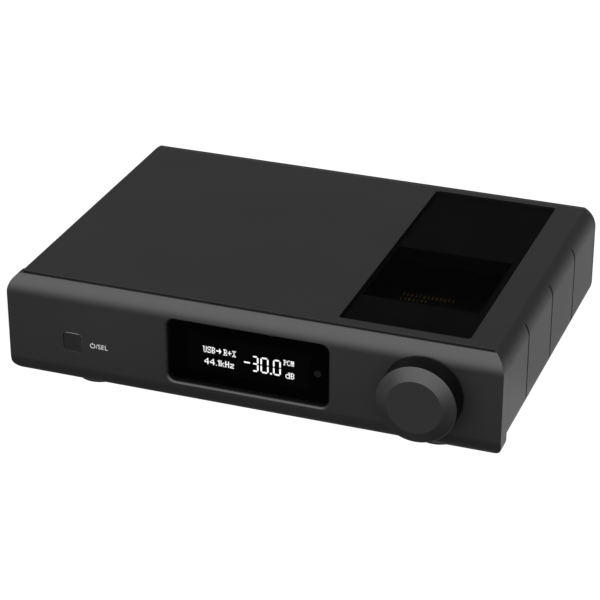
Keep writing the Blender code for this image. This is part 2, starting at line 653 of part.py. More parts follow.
def make_inlet():
    """A mains inlet: a flanged block with a deep cavity and three flat blades."""
    x, z = INLET_AT
    block = rounded(26.6, 19.6, 2.0, INLET_AT)
    body = slab("mains_inlet", [block], 20.0, "Y", (0, REAR_Y - 8.0, 0), black_plastic)
    flange = rounded(31.0, 23.0, 2.5, INLET_AT)
    join(body, slab("inlet_flange", [flange], 2.0, "Y", (0, REAR_Y + GAP + 1.0, 0)))
    cavity = [(x - 12, z - 8), (x + 12, z - 8), (x + 12, z + 3), (x + 7.5, z + 8)]
    cavity += [(x - 7.5, z + 8), (x - 12, z + 3)]
    cut(body, slab("inlet_cavity", [cavity], 15.0, "Y", (0, REAR_Y - 4.5, 0)))
    for name, blade_x, blade_z in (("live", -7.0, -2.0), ("neutral", 7.0, -2.0), ("earth", 0.0, 2.5)):
        low = (x + blade_x - 1.0, REAR_Y - 13.0, z + blade_z - 2.0)
        high = (x + blade_x + 1.0, REAR_Y + 0.5, z + blade_z + 2.0)
        join(body, box(f"blade_{name}", low, high))


def make_rocker():
    """The power rocker in its frame, tipped to its on position about a pivot along X."""
    frame_at = (ROCKER_AT[0], REAR_Y - 6.0, ROCKER_AT[1])
    frame = slab("rocker_frame", [rounded(13.0, 19.4, 1.0)], 16.0, "Y", frame_at, black_plastic)
    rim_at = (ROCKER_AT[0], REAR_Y + GAP + 0.8, ROCKER_AT[1])
    join(frame, slab("rocker_rim", [rounded(15.4, 21.8, 1.5)], 1.6, "Y", rim_at))
    well_at = (ROCKER_AT[0], REAR_Y, ROCKER_AT[1])
    cut(frame, slab("rocker_well", [rounded(10.6, 17.2, 0.6)], 14.0, "Y", well_at))
    side = [(-3.0, -3.0), (0.4, -7.7), (3.3, -7.6), (2.2, 0.0), (3.3, 7.6), (0.4, 7.7), (-3.0, 3.0)]
    rocker = slab("power_rocker", [side], 10.0, "X", well_at, black_plastic)
    rocker.rotation_euler.x = ROCKER_TILT
    join(rocker, slab("rocker_pivot", [circle(0.9, steps=12)], 12.2, "X", well_at))
    cut(frame, slab("pivot_hole", [circle(1.2, steps=12)], 14.0, "X", well_at))


def make_box_sockets():
    """The rectangular sockets: each is a block with a cavity, and a tongue where the real one has one."""
    rows = (
        ("usb_socket", USB_AT, (12.0, 10.8), (8.6, 7.8), (5.6, 3.2), bright_metal),
        ("optical_socket", OPTICAL_AT, (9.6, 9.6), (6.4, 6.4), None, black_plastic),
        ("digital_socket", DIGITAL_AT, (15.4, 6.4), (14.0, 4.6), (11.6, 1.2), bright_metal),
    )
    for name, middle, outside, inside, tongue, material in rows:
        at = (middle[0], REAR_Y - 6.0, middle[1])
        socket = slab(name, [rounded(*outside, 0.5)], 13.0, "Y", at, material)
        deep_at = (middle[0], REAR_Y - 3.0, middle[1])
        cut(socket, slab(f"{name}_cavity", [rounded(*inside, 0.3)], 12.0, "Y", deep_at))
        if tongue:
            low = (middle[0] - tongue[0] / 2, REAR_Y - 10.0, middle[1] - tongue[1] / 2)
            high = (middle[0] + tongue[0] / 2, REAR_Y - 0.5, middle[1] + tongue[1] / 2)
            join(socket, box(f"{name}_tongue", low, high))


def make_round_sockets():
    phono = [(0, -6.0), (1.7, -6.0), (1.7, JACK_OUT), (PHONO_RADIUS - 0.4, JACK_OUT)]
    phono += [(PHONO_RADIUS, JACK_OUT - 0.4), (PHONO_RADIUS, -12.0), (0, -12.0)]
    places = {"coax_socket": COAX_AT, "line_out_left": (PHONO_X, REAR_HIGH_Z)}
    places["line_out_right"] = (PHONO_X, REAR_LOW_Z)
    for name, (x, z) in places.items():
        turned(name, phono, "back", (x, REAR_Y, z), gold_metal, 24)
    jack = [(0, -5.0), (1.8, -5.0), (1.8, 0.8), (2.9, 0.8), (3.3, 0.4), (3.3, -11.0), (0, -11.0)]
    for name, z in (("trigger_in", REAR_HIGH_Z), ("trigger_out", REAR_LOW_Z)):
        turned(name, jack, "back", (TRIGGER_XS, REAR_Y, z), black_plastic, 20)
    aerial = [(0, 3.0), (1.5, 3.0), (1.5, 8.0), (2.8, 8.0), (3.1, 7.6), (3.1, 1.9), (4.6, 1.9)]
    aerial += [(4.6, GAP), (3.1, GAP), (3.1, -9.0), (0, -9.0)]
    turned("antenna_socket", aerial, "back", (ANTENNA_AT[0], REAR_Y, ANTENNA_AT[1]), gold_metal, 20)


def make_balanced_sockets():
    radius = BALANCED_RADIUS
    cup = [(0, -11.0), (radius - 1.6, -11.0), (radius - 1.6, 1.6), (radius - 0.3, 1.6)]
    cup += [(radius, 1.3), (radius, -14.0), (0, -14.0)]
    pins = [(5.2 * math.cos(a), 5.2 * math.sin(a)) for a in map(math.radians, (30, 150, 270))]
    pin = [(0, 8.0), (0.7, 8.0), (1.2, 7.4), (1.2, -1.0), (0, -1.0)]
    for side, x in BALANCED_OUT_XS.items():
        shell = turned(f"balanced_out_{side}", cup, "back", (x, REAR_Y, REAR_MID_Z), bright_metal)
        for number, (u, v) in enumerate(pins, 1):
            at = (x + u, REAR_Y - 11.0, REAR_MID_Z + v)
            join(shell, turned(f"pin_{side}_{number}", pin, "back", at, None, 12))
    x, z = BALANCED_IN_AT
    face = [(0, 0.2), (radius - 2.2, 0.2), (radius - 2.2, -2.0), (radius - 1.2, -2.0)]
    face += [(radius - 1.2, 1.6), (radius - 0.3, 1.6), (radius, 1.3), (radius, -14.0), (0, -14.0)]
    socket = turned("balanced_in", face, "back", (x, REAR_Y, z), bright_metal)
    for number, (u, v) in enumerate(pins, 1):
        hole_at = (x + u, REAR_Y, z - v)
        cut(socket, slab(f"contact_{number}", [circle(1.3, steps=12)], 16.0, "Y", hole_at))


clear_scene()
parts = new_collection("desktop_dac")
cutters = new_collection("cutters")
black_metal = make_material("black_metal", (0.028, 0.028, 0.028), 0.42, 0.6)
black_plastic = make_material("black_plastic", (0.02, 0.02, 0.02), 0.5)
grey_plastic = make_material("grey_plastic", (0.25, 0.25, 0.26), 0.5)
rubber = make_material("rubber", (0.015, 0.015, 0.015), 0.85)
smoked_glass = make_material("smoked_glass", (0.01, 0.01, 0.012), 0.05, 0.0, 0.6)
screen_glass = make_material("screen_glass", (0.004, 0.004, 0.005), 0.12)
bright_metal = make_material("bright_metal", (0.6, 0.6, 0.62), 0.3, 1.0)
gold_metal = make_material("gold_metal", (0.8, 0.56, 0.2), 0.28, 1.0)
brass = make_material("brass", (0.7, 0.55, 0.28), 0.35, 1.0)
circuit_board = make_material("circuit_board", (0.01, 0.02, 0.014), 0.45)
copper_tape = make_material("copper_tape", (0.45, 0.2, 0.08), 0.4, 0.6)

make_front_panel()
make_top_cover()
make_bottom_plate()
make_rear_panel()
make_feet()
make_top_window()
make_display()
make_power_button()
make_knob()
make_encoder()
make_boards()
make_components()
make_inlet()
make_rocker()
make_box_sockets()
make_round_sockets()
make_balanced_sockets()
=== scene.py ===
"""Looks of the desktop DAC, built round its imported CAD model.

Millimetres in the helpers, scaled to metres when a mesh is made.
"""

import json
import math
import re

import bmesh
import bpy
from mathutils import Matrix, Vector

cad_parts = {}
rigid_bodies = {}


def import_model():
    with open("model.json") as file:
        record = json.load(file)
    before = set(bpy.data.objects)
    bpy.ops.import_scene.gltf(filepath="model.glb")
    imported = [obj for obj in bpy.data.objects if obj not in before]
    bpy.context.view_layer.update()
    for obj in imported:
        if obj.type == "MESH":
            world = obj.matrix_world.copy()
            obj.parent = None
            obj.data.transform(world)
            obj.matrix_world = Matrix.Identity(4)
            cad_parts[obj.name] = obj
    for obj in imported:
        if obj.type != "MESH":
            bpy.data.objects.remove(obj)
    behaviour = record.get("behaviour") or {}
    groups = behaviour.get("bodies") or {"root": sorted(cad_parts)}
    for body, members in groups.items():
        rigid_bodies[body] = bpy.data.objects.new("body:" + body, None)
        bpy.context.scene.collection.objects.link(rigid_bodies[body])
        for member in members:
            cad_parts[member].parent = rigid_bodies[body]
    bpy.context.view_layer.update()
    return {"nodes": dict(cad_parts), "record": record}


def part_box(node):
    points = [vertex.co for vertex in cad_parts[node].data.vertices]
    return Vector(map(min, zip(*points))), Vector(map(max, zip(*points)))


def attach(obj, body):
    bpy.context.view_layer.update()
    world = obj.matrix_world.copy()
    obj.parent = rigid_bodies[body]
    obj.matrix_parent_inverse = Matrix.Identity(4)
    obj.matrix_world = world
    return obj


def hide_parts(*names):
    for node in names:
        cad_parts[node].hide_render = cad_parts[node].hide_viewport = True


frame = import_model()

MM = 0.001
GAP = 0.3
CREASE = math.radians(30)  # edges sharper than this are rounded or stay sharp
SEAM = 0.03  # what the eye sees where two pieces are pulled together


def span(node):
    """(lowest corner, highest corner) of a CAD node, in millimetres."""
    low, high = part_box(node)
    return low / MM, high / MM


def centre(node):
    low, high = span(node)
    return (low + high) / 2


def size(node):
    low, high = span(node)
    return high - low


# What the CAD gives
PANEL_LOW, PANEL_HIGH = span("front_panel")
COVER_LOW, COVER_HIGH = span("top_cover")
REAR_LOW, REAR_HIGH = span("rear_panel")
FRONT_Y = PANEL_LOW.y
REAR_Y = REAR_HIGH.y
PANEL_Z = PANEL_LOW.z
CASE_Z = COVER_LOW.z
TOP_Z = PANEL_HIGH.z
WIDTH = PANEL_HIGH.x - PANEL_LOW.x
LENS = centre("display_window")
LENS_SIZE = size("display_window")
LENS_FRONT_Y = span("display_window")[0].y
BUTTON = centre("power_button")
KNOB = centre("volume_knob")
KNOB_LOW, KNOB_HIGH = span("volume_knob")
GLASS_LOW, GLASS_HIGH = span("top_window")

# Case, as in the CAD
WALL = 2.0
PANEL_DEPTH = 8.5
FRONT_WALL = 4.0
EDGE_RADIUS = 10.0
PANEL_TOP_INSET = 4.4
PANEL_BOTTOM_INSET = 3.6
PANEL_CORNER_RADIUS = 5.0
PANEL_CORNER_INSET = 3.4
CASE_TOP_INSET = 5.6
CASE_BOTTOM_INSET = 3.6
ARC_STEPS = 28
CHEEK_X = 105.2
CHANNEL_FRONT = 4.9
CHANNEL_DEEP = 1.0
LENS_CORNER = 3.4
LENS_CHAMFER = 0.65
LENS_APERTURE = (66.8, 23.0)
BUTTON_SIZE = 8.6
BUTTON_CORNER = 1.7
BUSH_RADIUS = 4.4
WINDOW_CORNER = 1.2
CLEAR_X = (37.2, 89.1)
CLEAR_Y = (FRONT_Y + 39.7, FRONT_Y + 90.7)
GROOVE_WIDE = 1.4
GROOVE_DEEP = 0.9
GROOVE_TOP_ANGLE = math.radians(32)
HOLLOW_X = 104.0  # half width of the hollow behind the front wall
BUTTON_FLANGE = 12.0
PRINT_THICK = 0.03
SIGHT = (-0.3722, -0.5365)  # how far (x, z) a sight line moves for each millimetre further back

AXES = {
    "X": Matrix(((0, 0, 1), (1, 0, 0), (0, 1, 0))).to_4x4(),
    "Y": Matrix(((1, 0, 0), (0, 0, -1), (0, 1, 0))).to_4x4(),
    "Z": Matrix.Identity(4),
    "back": Matrix(((1, 0, 0), (0, 0, 1), (0, -1, 0))).to_4x4(),
}

scene = bpy.context.scene
helpers = bpy.data.collections.new("helpers")
scene.collection.children.link(helpers)


# --- shapes ---


def add(name, mesh, at=(0, 0, 0)):
    obj = bpy.data.objects.new(name, mesh)
    obj.location = Vector(at) * MM
    helpers.objects.link(obj)
    return obj


def mesh_from(bm, name):
    mesh = bpy.data.meshes.new(name)
    bm.to_mesh(mesh)
    bm.free()
    return mesh


def box(name, low, high):
    bm = bmesh.new()
    bmesh.ops.create_cube(bm, size=1.0)
    bmesh.ops.scale(bm, vec=(Vector(high) - Vector(low)) * MM, verts=bm.verts)
    return add(name, mesh_from(bm, name), (Vector(low) + Vector(high)) / 2)


def slab(name, outlines, thickness, axis, at):
    """A flat outline with thickness, the later outlines holes, centred on the given place."""
    curve = bpy.data.curves.new(name, "CURVE")
    curve.dimensions = "2D"
    curve.fill_mode = "BOTH"
    curve.extrude = thickness / 2 * MM
    for outline in outlines:
        spline = curve.splines.new("POLY")
        spline.points.add(len(outline) - 1)
        for point, (u, v) in zip(spline.points, outline):
            point.co = (u * MM, v * MM, 0.0, 1.0)
        spline.use_cyclic_u = True
    guide = bpy.data.objects.new(name, curve)
    scene.collection.objects.link(guide)
    graph = bpy.context.evaluated_depsgraph_get()
    mesh = bpy.data.meshes.new_from_object(guide.evaluated_get(graph))
    bpy.data.objects.remove(guide)
    bm = bmesh.new()
    bm.from_mesh(mesh)
    bmesh.ops.remove_doubles(bm, verts=bm.verts, dist=1e-6)
    bmesh.ops.transform(bm, matrix=AXES[axis], verts=bm.verts)
    bmesh.ops.recalc_face_normals(bm, faces=bm.faces)
    bm.to_mesh(mesh)
    bm.free()
    return add(name, mesh, at)


def tapered(name, near, far, thickness, axis, at):
    """A closed solid between two outlines of equal point counts, the near one furthest along the axis."""
    bm = bmesh.new()
    rings = []
    for outline, height in ((far, -thickness / 2), (near, thickness / 2)):
        rings.append([bm.verts.new((u * MM, v * MM, height * MM)) for u, v in outline])
        bm.faces.new(rings[-1])
    count = len(near)
    for number in range(count):
        after = (number + 1) % count
        bm.faces.new((rings[0][number], rings[0][after], rings[1][after], rings[1][number]))
    bmesh.ops.transform(bm, matrix=AXES[axis], verts=bm.verts)
    bmesh.ops.recalc_face_normals(bm, faces=bm.faces)
    return add(name, mesh_from(bm, name), at)


def turned(name, profile, axis, at, steps=64, ring=False):
    """A profile of (radius, height) points, running down its outer side, turned about the axis."""
    bm = bmesh.new()
    verts = [bm.verts.new((radius * MM, 0.0, height * MM)) for radius, height in profile]
    for first, second in zip(verts, verts[1:]):
        bm.edges.new((first, second))
    if ring:
        bm.edges.new((verts[-1], verts[0]))
    obj = add(name, mesh_from(bm, name), at)
    obj.matrix_world = Matrix.Translation(obj.location) @ AXES[axis]
    screw = obj.modifiers.new("Screw", "SCREW")
    screw.steps = steps
    screw.render_steps = steps
    screw.use_merge_vertices = True
    screw.merge_threshold = 1e-6
    return obj


def combine(obj, operation, *others):
    for other in others:
        modifier = obj.modifiers.new(other.name, "BOOLEAN")
        modifier.operation = operation
        modifier.object = other
    return obj


def cut(obj, *others):
    return combine(obj, "DIFFERENCE", *others)


def join(obj, *others):
    return combine(obj, "UNION", *others)


def rounded(width, height, corner, middle=(0.0, 0.0), steps=10):
    points = []
    for quarter in range(4):
        side_u = 1 if quarter in (0, 3) else -1
        side_v = 1 if quarter in (0, 1) else -1
        for step in range(steps + 1):
            angle = math.pi / 2 * (quarter + step / steps)
            u = side_u * (width / 2 - corner) + corner * math.cos(angle)
            v = side_v * (height / 2 - corner) + corner * math.sin(angle)
            points.append((middle[0] + u, middle[1] + v))
    return points


def circle(radius, middle=(0.0, 0.0), steps=64):
    turns = [2 * math.pi * step / steps for step in range(steps)]
    return [(middle[0] + radius * math.cos(a), middle[1] + radius * math.sin(a)) for a in turns]


def evaluated(obj):
    graph = bpy.context.evaluated_depsgraph_get()
    mesh = bpy.data.meshes.new_from_object(obj.evaluated_get(graph))
    mesh.transform(obj.matrix_world)
    return mesh


def settle(obj, slot, finish=None, replaces=(), bevel=0.0, segments=2, body="case", flats=0.3):
    """Turns a built-up shape into one plain mesh with small edge roundings, which rides on a body.

    The finish is the one with the slot's name, unless another is given.
    """
    name = obj.name
    mesh = evaluated(obj)
    bm = bmesh.new()
    bm.from_mesh(mesh)
    bmesh.ops.remove_doubles(bm, verts=bm.verts, dist=2e-6)
    bmesh.ops.dissolve_limit(
        bm, angle_limit=math.radians(flats), verts=bm.verts, edges=bm.edges, use_dissolve_boundaries=False
    )
    bmesh.ops.recalc_face_normals(bm, faces=bm.faces)
    bm.to_mesh(mesh)
    bm.free()
    obj.name = name + ".source"
    piece = bpy.data.objects.new(name, mesh)
    scene.collection.objects.link(piece)
    if bevel:
        modifier = piece.modifiers.new("Bevel", "BEVEL")
        modifier.width = bevel * MM
        modifier.segments = segments
        modifier.limit_method = "ANGLE"
        modifier.angle_limit = CREASE
        modifier.use_clamp_overlap = False
        modifier.miter_outer = "MITER_ARC"
    mesh.shade_smooth()
    mesh.set_sharp_from_angle(angle=CREASE)
    weights = piece.modifiers.new("Normals", "WEIGHTED_NORMAL")
    weights.keep_sharp = not bevel
    mesh.materials.clear()
    mesh.materials.append(FINISH[finish or slot])
    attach(piece, body)
    if replaces:
        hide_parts(*replaces)
    return piece


def gather(name, makers):
    """Joins small boxes, given as (low, high) corners, into one mesh of separate solids."""
    bm = bmesh.new()
    for low, high in makers:
        made = bmesh.ops.create_cube(bm, size=1.0)["verts"]
        bmesh.ops.scale(bm, vec=(Vector(high) - Vector(low)) * MM, verts=made)
        bmesh.ops.translate(bm, vec=(Vector(low) + Vector(high)) / 2 * MM, verts=made)
    return add(name, mesh_from(bm, name))


def scatter(name, source, places):
    """One mesh that holds a copy of a shape at each place."""
    mesh = evaluated(source)
    bm = bmesh.new()
    for place in places:
        count = len(bm.verts)
        bm.from_mesh(mesh)
        bm.verts.ensure_lookup_table()
        bmesh.ops.translate(bm, vec=Vector(place) * MM, verts=bm.verts[count:])
    return add(name, mesh_from(bm, name))


def clear_helpers():
    for obj in list(helpers.objects):
        bpy.data.objects.remove(obj, do_unlink=True)
    bpy.data.collections.remove(helpers)


# --- materials ---


def grey(value):
    return (value, value, value)


def blank(name):
    material = bpy.data.materials.new(name)
    material.use_nodes = True
    tree = material.node_tree
    return material, tree, tree.nodes["Principled BSDF"]


def noise(tree, scale, detail, roughness=0.5):
    texture = tree.nodes.new("ShaderNodeTexNoise")
    texture.inputs["Scale"].default_value = scale
    texture.inputs["Detail"].default_value = detail
    texture.inputs["Roughness"].default_value = roughness
    place = tree.nodes.new("ShaderNodeTexCoord").outputs["Object"]
    tree.links.new(place, texture.inputs["Vector"])
    return texture.outputs["Fac"]


def spread(tree, value, low, high):
    """Maps the middle of a noise's range onto low to high."""
    node = tree.nodes.new("ShaderNodeMapRange")
    for socket, number in (("From Min", 0.3), ("From Max", 0.7), ("To Min", low), ("To Max", high)):
        node.inputs[socket].default_value = number
    tree.links.new(value, node.inputs["Value"])
    return node.outputs["Result"]


def ramp(tree, value, *stops):
    node = tree.nodes.new("ShaderNodeValToRGB")
    elements = node.color_ramp.elements
    while len(elements) < len(stops):
        elements.new(0.5)
    for element, (place, colour) in zip(elements, stops):
        element.position = place
        element.color = (*colour, 1.0)
    tree.links.new(value, node.inputs["Fac"])
    return node.outputs["Color"]


def bump(tree, shader, height, distance):
    node = tree.nodes.new("ShaderNodeBump")
    node.inputs["Distance"].default_value = distance * MM
    node.inputs["Strength"].default_value = 1.0
    tree.links.new(height, node.inputs["Height"])
    tree.links.new(node.outputs["Normal"], shader.inputs["Normal"])


def surface(name, dark, light, rough, metallic=0.0, patch=60.0, grain=5000.0, depth=0.004, specular=0.5):
    """A finish that drifts a little over centimetres, with a fine grain; a lone number is a grey."""
    dark, light = (part if isinstance(part, tuple) else grey(part) for part in (dark, light))
    material, tree, shader = blank(name)
    shader.inputs["Metallic"].default_value = metallic
    shader.inputs["Specular IOR Level"].default_value = specular
    drift = noise(tree, patch, 3.0)
    tree.links.new(ramp(tree, drift, (0.3, dark), (0.7, light)), shader.inputs["Base Color"])
    tree.links.new(spread(tree, drift, *rough), shader.inputs["Roughness"])
    if depth:
        bump(tree, shader, noise(tree, grain, 3.0, 0.6), depth)
    return material


# dark and light colour, least and most roughness, metallic, patches, grain, depth of the grain, specular
FINISHES = {
    "case_metal": (0.0085, 0.0095, (0.415, 0.435), 0, 22, 4500, 0.005),
    "knob_metal": (0.011, 0.013, (0.40, 0.42), 0, 40, 6000, 0.003),
    # a darker, less glossy copy of the knob metal: painted shade on the knob's side wall
    "knob_side_painted_shade": (0.0004, 0.0007, (0.38, 0.46), 0, 40, 6000, 0.003, 0.12),
    "black_plastic": (0.012, 0.017, (0.50, 0.60), 0, 90, 3200, 0.01, 0.4),
    "rear_metal": (0.011, 0.0135, (0.45, 0.5), 0, 30, 4500, 0.006),
    "screw_steel": (0.09, 0.13, (0.3, 0.4), 0.8, 300, 3000, 0.003),
    "white_plastic": (0.62, 0.7, (0.35, 0.45), 0, 200, 3000, 0.003),
    "red_plastic": ((0.42, 0.012, 0.01), (0.5, 0.02, 0.016), (0.35, 0.45), 0, 200, 3000, 0.003),
    "amber_plastic": ((0.6, 0.16, 0.01), (0.7, 0.2, 0.02), (0.35, 0.45), 0, 200, 3000, 0.003),
    "board_mask": ((0.001, 0.0018, 0.0013), (0.002, 0.003, 0.0024), (0.4, 0.55), 0, 300, 2500, 0.004, 0.08),
    "winding_tape": ((0.3, 0.13, 0.03), (0.42, 0.2, 0.05), (0.35, 0.5), 0.5, 120, 1500, 0.02),
    "can_sleeve": ((0.010, 0.010, 0.016), (0.016, 0.016, 0.026), (0.28, 0.38), 0, 150, 2000, 0.004),
    "ribbon_grey": (0.2, 0.28, (0.45, 0.55), 0, 150, 2500, 0.006),
    "inner_black": (0.0009, 0.0014, (0.5, 0.6), 0, 90, 3200, 0.006, 0.05),
    "button_plastic": (0.008, 0.010, (0.42, 0.5), 0, 120, 5000, 0.004, 0.24),
    "foot_rubber": (0.012, 0.02, (0.75, 0.9), 0, 200, 2500, 0.02, 0.3),
    "bright_metal": (0.5, 0.62, (0.22, 0.34), 1, 220, 3000, 0.002),
    "gold_metal": ((0.72, 0.47, 0.15), (0.86, 0.6, 0.22), (0.18, 0.28), 1, 260, 3000, 0.002),
    "dull_gold": ((0.42, 0.27, 0.08), (0.52, 0.34, 0.11), (0.3, 0.4), 1, 260, 3000, 0.002),
    "brass": ((0.55, 0.40, 0.17), (0.7, 0.54, 0.26), (0.3, 0.42), 1, 200, 2500, 0.004),
    # bright metal put on the button's plastic bevels: a painted highlight along its edges
    "painted_edge_highlight": (0.34, 0.38, (0.2, 0.26), 1, 150, 3000, 0.001),
    "print_white": (0.42, 0.5, (0.5, 0.6), 0, 300, 6000, 0.001),
    "window_print": (0.0060, 0.0075, (0.45, 0.55), 0, 60, 4000, 0, 0.12),
    "screen_black": (0.0004, 0.0007, (0.3, 0.4), 0, 80, 3000, 0.001, 0.06),
    "spot_grey": (0.03, 0.036, (0.3, 0.4), 0, 200, 3000, 0.002),
    "screen_area": (0.002, 0.003, (0.3, 0.4), 0, 80, 3000, 0.001, 0.12),
}
FINISH = {name: surface(name, *values) for name, values in FINISHES.items()}


def glass_material(name, alpha, tint, specular):
    """Smoked glass: a dark coat that lets part of the light through, with faint smudges in its gloss."""
    material, tree, shader = blank(name)
    drift = noise(tree, 30.0, 4.0)
    colour = ramp(tree, drift, (0.35, grey(tint)), (0.7, grey(tint * 1.5)))
    tree.links.new(colour, shader.inputs["Base Color"])
    tree.links.new(spread(tree, drift, 0.03, 0.09), shader.inputs["Roughness"])
    shader.inputs["Specular IOR Level"].default_value = specular
    shader.inputs["Alpha"].default_value = alpha
    return material


FINISH["window_glass"] = glass_material("window_glass", 0.35, 0.0004, 0.015)
FINISH["lens_glass"] = glass_material("lens_glass", 0.35, 0.0004, 0.03)


def glow(name, colour, strength):
    """Lit dots of a display, a little uneven from dot to dot."""
    material, tree, shader = blank(name)
    dots = noise(tree, 1800.0, 1.0)
    tree.links.new(ramp(tree, dots, (0.2, grey(0.9)), (0.8, colour)), shader.inputs["Emission Color"])
    shader.inputs["Emission Strength"].default_value = strength
    tree.links.new(ramp(tree, dots, (0.2, grey(0.5)), (0.8, grey(0.6))), shader.inputs["Base Color"])
    tree.links.new(spread(tree, dots, 0.4, 0.5), shader.inputs["Roughness"])
    return material


FINISH["readout"] = glow("readout", (1.0, 1.0, 1.0), 2.4)


# --- case ---


def crease_angle(inset):
    return math.acos(1 - inset / EDGE_RADIUS)


def edge_arc(inset, shrink=0.0, stop=None):
    """(in from the side, down from the flat face) along one rounding, from the side to the flat face."""
    rise = EDGE_RADIUS * math.sin(crease_angle(inset))
    radius = EDGE_RADIUS - shrink
    last = math.asin((rise - shrink) / radius) if stop is None else stop
    angles = [last * step / ARC_STEPS for step in range(ARC_STEPS + 1)]
    return [(EDGE_RADIUS - radius * math.cos(a), rise - radius * math.sin(a)) for a in angles]


def half_section(bottom, top_inset, bottom_inset, shrink=0.0):
    half = WIDTH / 2
    upper = [(half - u, TOP_Z - v) for u, v in edge_arc(top_inset, shrink)]
    rise = EDGE_RADIUS * math.sin(crease_angle(bottom_inset))
    stop = math.asin(rise / (EDGE_RADIUS - shrink)) if shrink else None
    lower = [(half - u, bottom + v) for u, v in edge_arc(bottom_inset, shrink, stop)]
    return lower[::-1] + upper


def mirrored(points):
    return [(-x, z) for x, z in reversed(points)]


def panel_outline():
    """The front panel's outline as (x, z), which has tighter lower corners than the cover."""
    radius = PANEL_CORNER_RADIUS
    last = math.acos(1 - PANEL_CORNER_INSET / radius)
    angles = [last * step / ARC_STEPS for step in range(ARC_STEPS, -1, -1)]
    side, level = WIDTH / 2 - radius, PANEL_Z + radius * math.sin(last)
    half = [(side + radius * math.cos(a), level - radius * math.sin(a)) for a in angles]
    half += [(WIDTH / 2 - u, TOP_Z - v) for u, v in edge_arc(PANEL_TOP_INSET)]
    return half + mirrored(half)


def make_front_panel():
    lower = [(u, PANEL_Z + v) for u, v in edge_arc(PANEL_BOTTOM_INSET)]
    upper = [(u, TOP_Z - v) for u, v in edge_arc(PANEL_TOP_INSET)]
    back = PANEL_DEPTH + GAP - SEAM
    section = [(back, PANEL_Z)] + lower[::-1] + upper + [(back, TOP_Z)]
    panel = slab("face_plate", [section], WIDTH + 2, "X", (0, FRONT_Y, 0))
    middle_y = FRONT_Y + PANEL_DEPTH / 2
    outline = slab("plate_ends", [panel_outline()], PANEL_DEPTH + 4, "Y", (0, middle_y, 0))
    combine(panel, "INTERSECT", outline)
    back_y = FRONT_Y + PANEL_DEPTH + 1
    wall_y = FRONT_Y + FRONT_WALL
    seat_y = COVER_LOW.y - GAP
    deep = LENS_FRONT_Y - FRONT_Y + LENS_SIZE.y + GAP
    pocket_size = [LENS_SIZE.x + 2 * GAP, LENS_SIZE.z + 2 * GAP]
    pocket = rounded(*pocket_size, LENS_CORNER + GAP)
    reach = LENS_CHAMFER + 0.5
    mouth = rounded(*[side + 2 * reach for side in pocket_size], LENS_CORNER + GAP + reach)
    mouth_y = FRONT_Y + LENS_CHAMFER - reach / 2
    hole = rounded(BUTTON_SIZE + 4 * SEAM, BUTTON_SIZE + 4 * SEAM, BUTTON_CORNER + 2 * SEAM)
    cut(
        panel,
        box("plate_hollow", (-HOLLOW_X, wall_y, PANEL_Z + 5), (HOLLOW_X, back_y, TOP_Z - 5.5)),
        box("plate_seat", (-CHEEK_X, seat_y, TOP_Z - WALL - GAP), (CHEEK_X, back_y, TOP_Z + 1)),
        box(
            "plate_channel",
            (-CHEEK_X, FRONT_Y + CHANNEL_FRONT, TOP_Z - CHANNEL_DEEP),
            (CHEEK_X, back_y, TOP_Z + 1),
        ),
        slab("plate_pocket", [pocket], 2 * deep, "Y", (0, FRONT_Y, LENS.z)),
        tapered("plate_chamfer", mouth, pocket, reach, "Y", (0, mouth_y, LENS.z)),
        slab("plate_aperture", [rounded(*LENS_APERTURE, 2.0)], 12, "Y", (0, FRONT_Y + 4, LENS.z)),
        slab("plate_button_hole", [hole], 12, "Y", (BUTTON.x, FRONT_Y, BUTTON.z)),
        slab("plate_bush_hole", [circle(BUSH_RADIUS + GAP)], 12, "Y", (KNOB.x, FRONT_Y, KNOB.z)),
    )
    settle(panel, "case_metal", "case_metal", ["front_panel"], 0.06)


def make_groove(name, sign, groove_y):
    half = WIDTH / 2
    upper = edge_arc(CASE_TOP_INSET, GROOVE_DEEP, GROOVE_TOP_ANGLE)
    lower = edge_arc(CASE_BOTTOM_INSET, GROOVE_DEEP)
    path = [(half - u, TOP_Z - v) for u, v in reversed(upper)]
    path += [(half - u, CASE_Z + v) for u, v in lower]
    path += [(path[-1][0], CASE_Z - 1), (half + 1, CASE_Z - 1), (half + 1, path[0][1] + 3)]
    path += [(path[0][0] + 2, path[0][1] + 3)]
    return slab(name, [[(sign * x, z) for x, z in path]], GROOVE_WIDE, "Y", (0, groove_y, 0))


def make_cover():
    outer = half_section(CASE_Z, CASE_TOP_INSET, CASE_BOTTOM_INSET)
    inner = half_section(CASE_Z, CASE_TOP_INSET, CASE_BOTTOM_INSET, WALL)
    section = outer + mirrored(outer) + [(-x, z) for x, z in inner] + inner[::-1]
    length = COVER_HIGH.y - COVER_LOW.y
    middle_y = (COVER_HIGH.y + COVER_LOW.y) / 2
    cover = slab("wrap_cover", [section], length, "Y", (0, middle_y, 0))
    side = CHEEK_X - SEAM
    side_y = FRONT_Y + PANEL_DEPTH + GAP
    low = (-WIDTH, COVER_LOW.y - 1, CASE_Z - 1)
    cut(cover, box("wrap_lips", low, (WIDTH, side_y, TOP_Z - WALL - 1)))
    depth = REAR_Y - FRONT_Y
    for sign, name in ((-1, "left"), (1, "right")):
        xs = sorted((sign * side, sign * (WIDTH / 2 + 2)))
        low = (xs[0], COVER_LOW.y - 1, CASE_Z - 1)
        cut(cover, box(f"wrap_cheek_{name}", low, (xs[1], side_y, TOP_Z + 1)))
        for number in (1, 2, 3):
            cut(cover, make_groove(f"wrap_groove_{name}_{number}", sign, FRONT_Y + depth * number / 4))
    middle = (GLASS_LOW + GLASS_HIGH) / 2
    width, length = GLASS_HIGH.x - GLASS_LOW.x + 2 * GAP, GLASS_HIGH.y - GLASS_LOW.y + 2 * GAP
    opening = rounded(width, length, WINDOW_CORNER + GAP)
    cut(cover, slab("wrap_window", [opening], 3 * WALL, "Z", (middle.x, middle.y, TOP_Z)))
    settle(cover, "case_metal", "case_metal", ["top_cover"], 0.06)


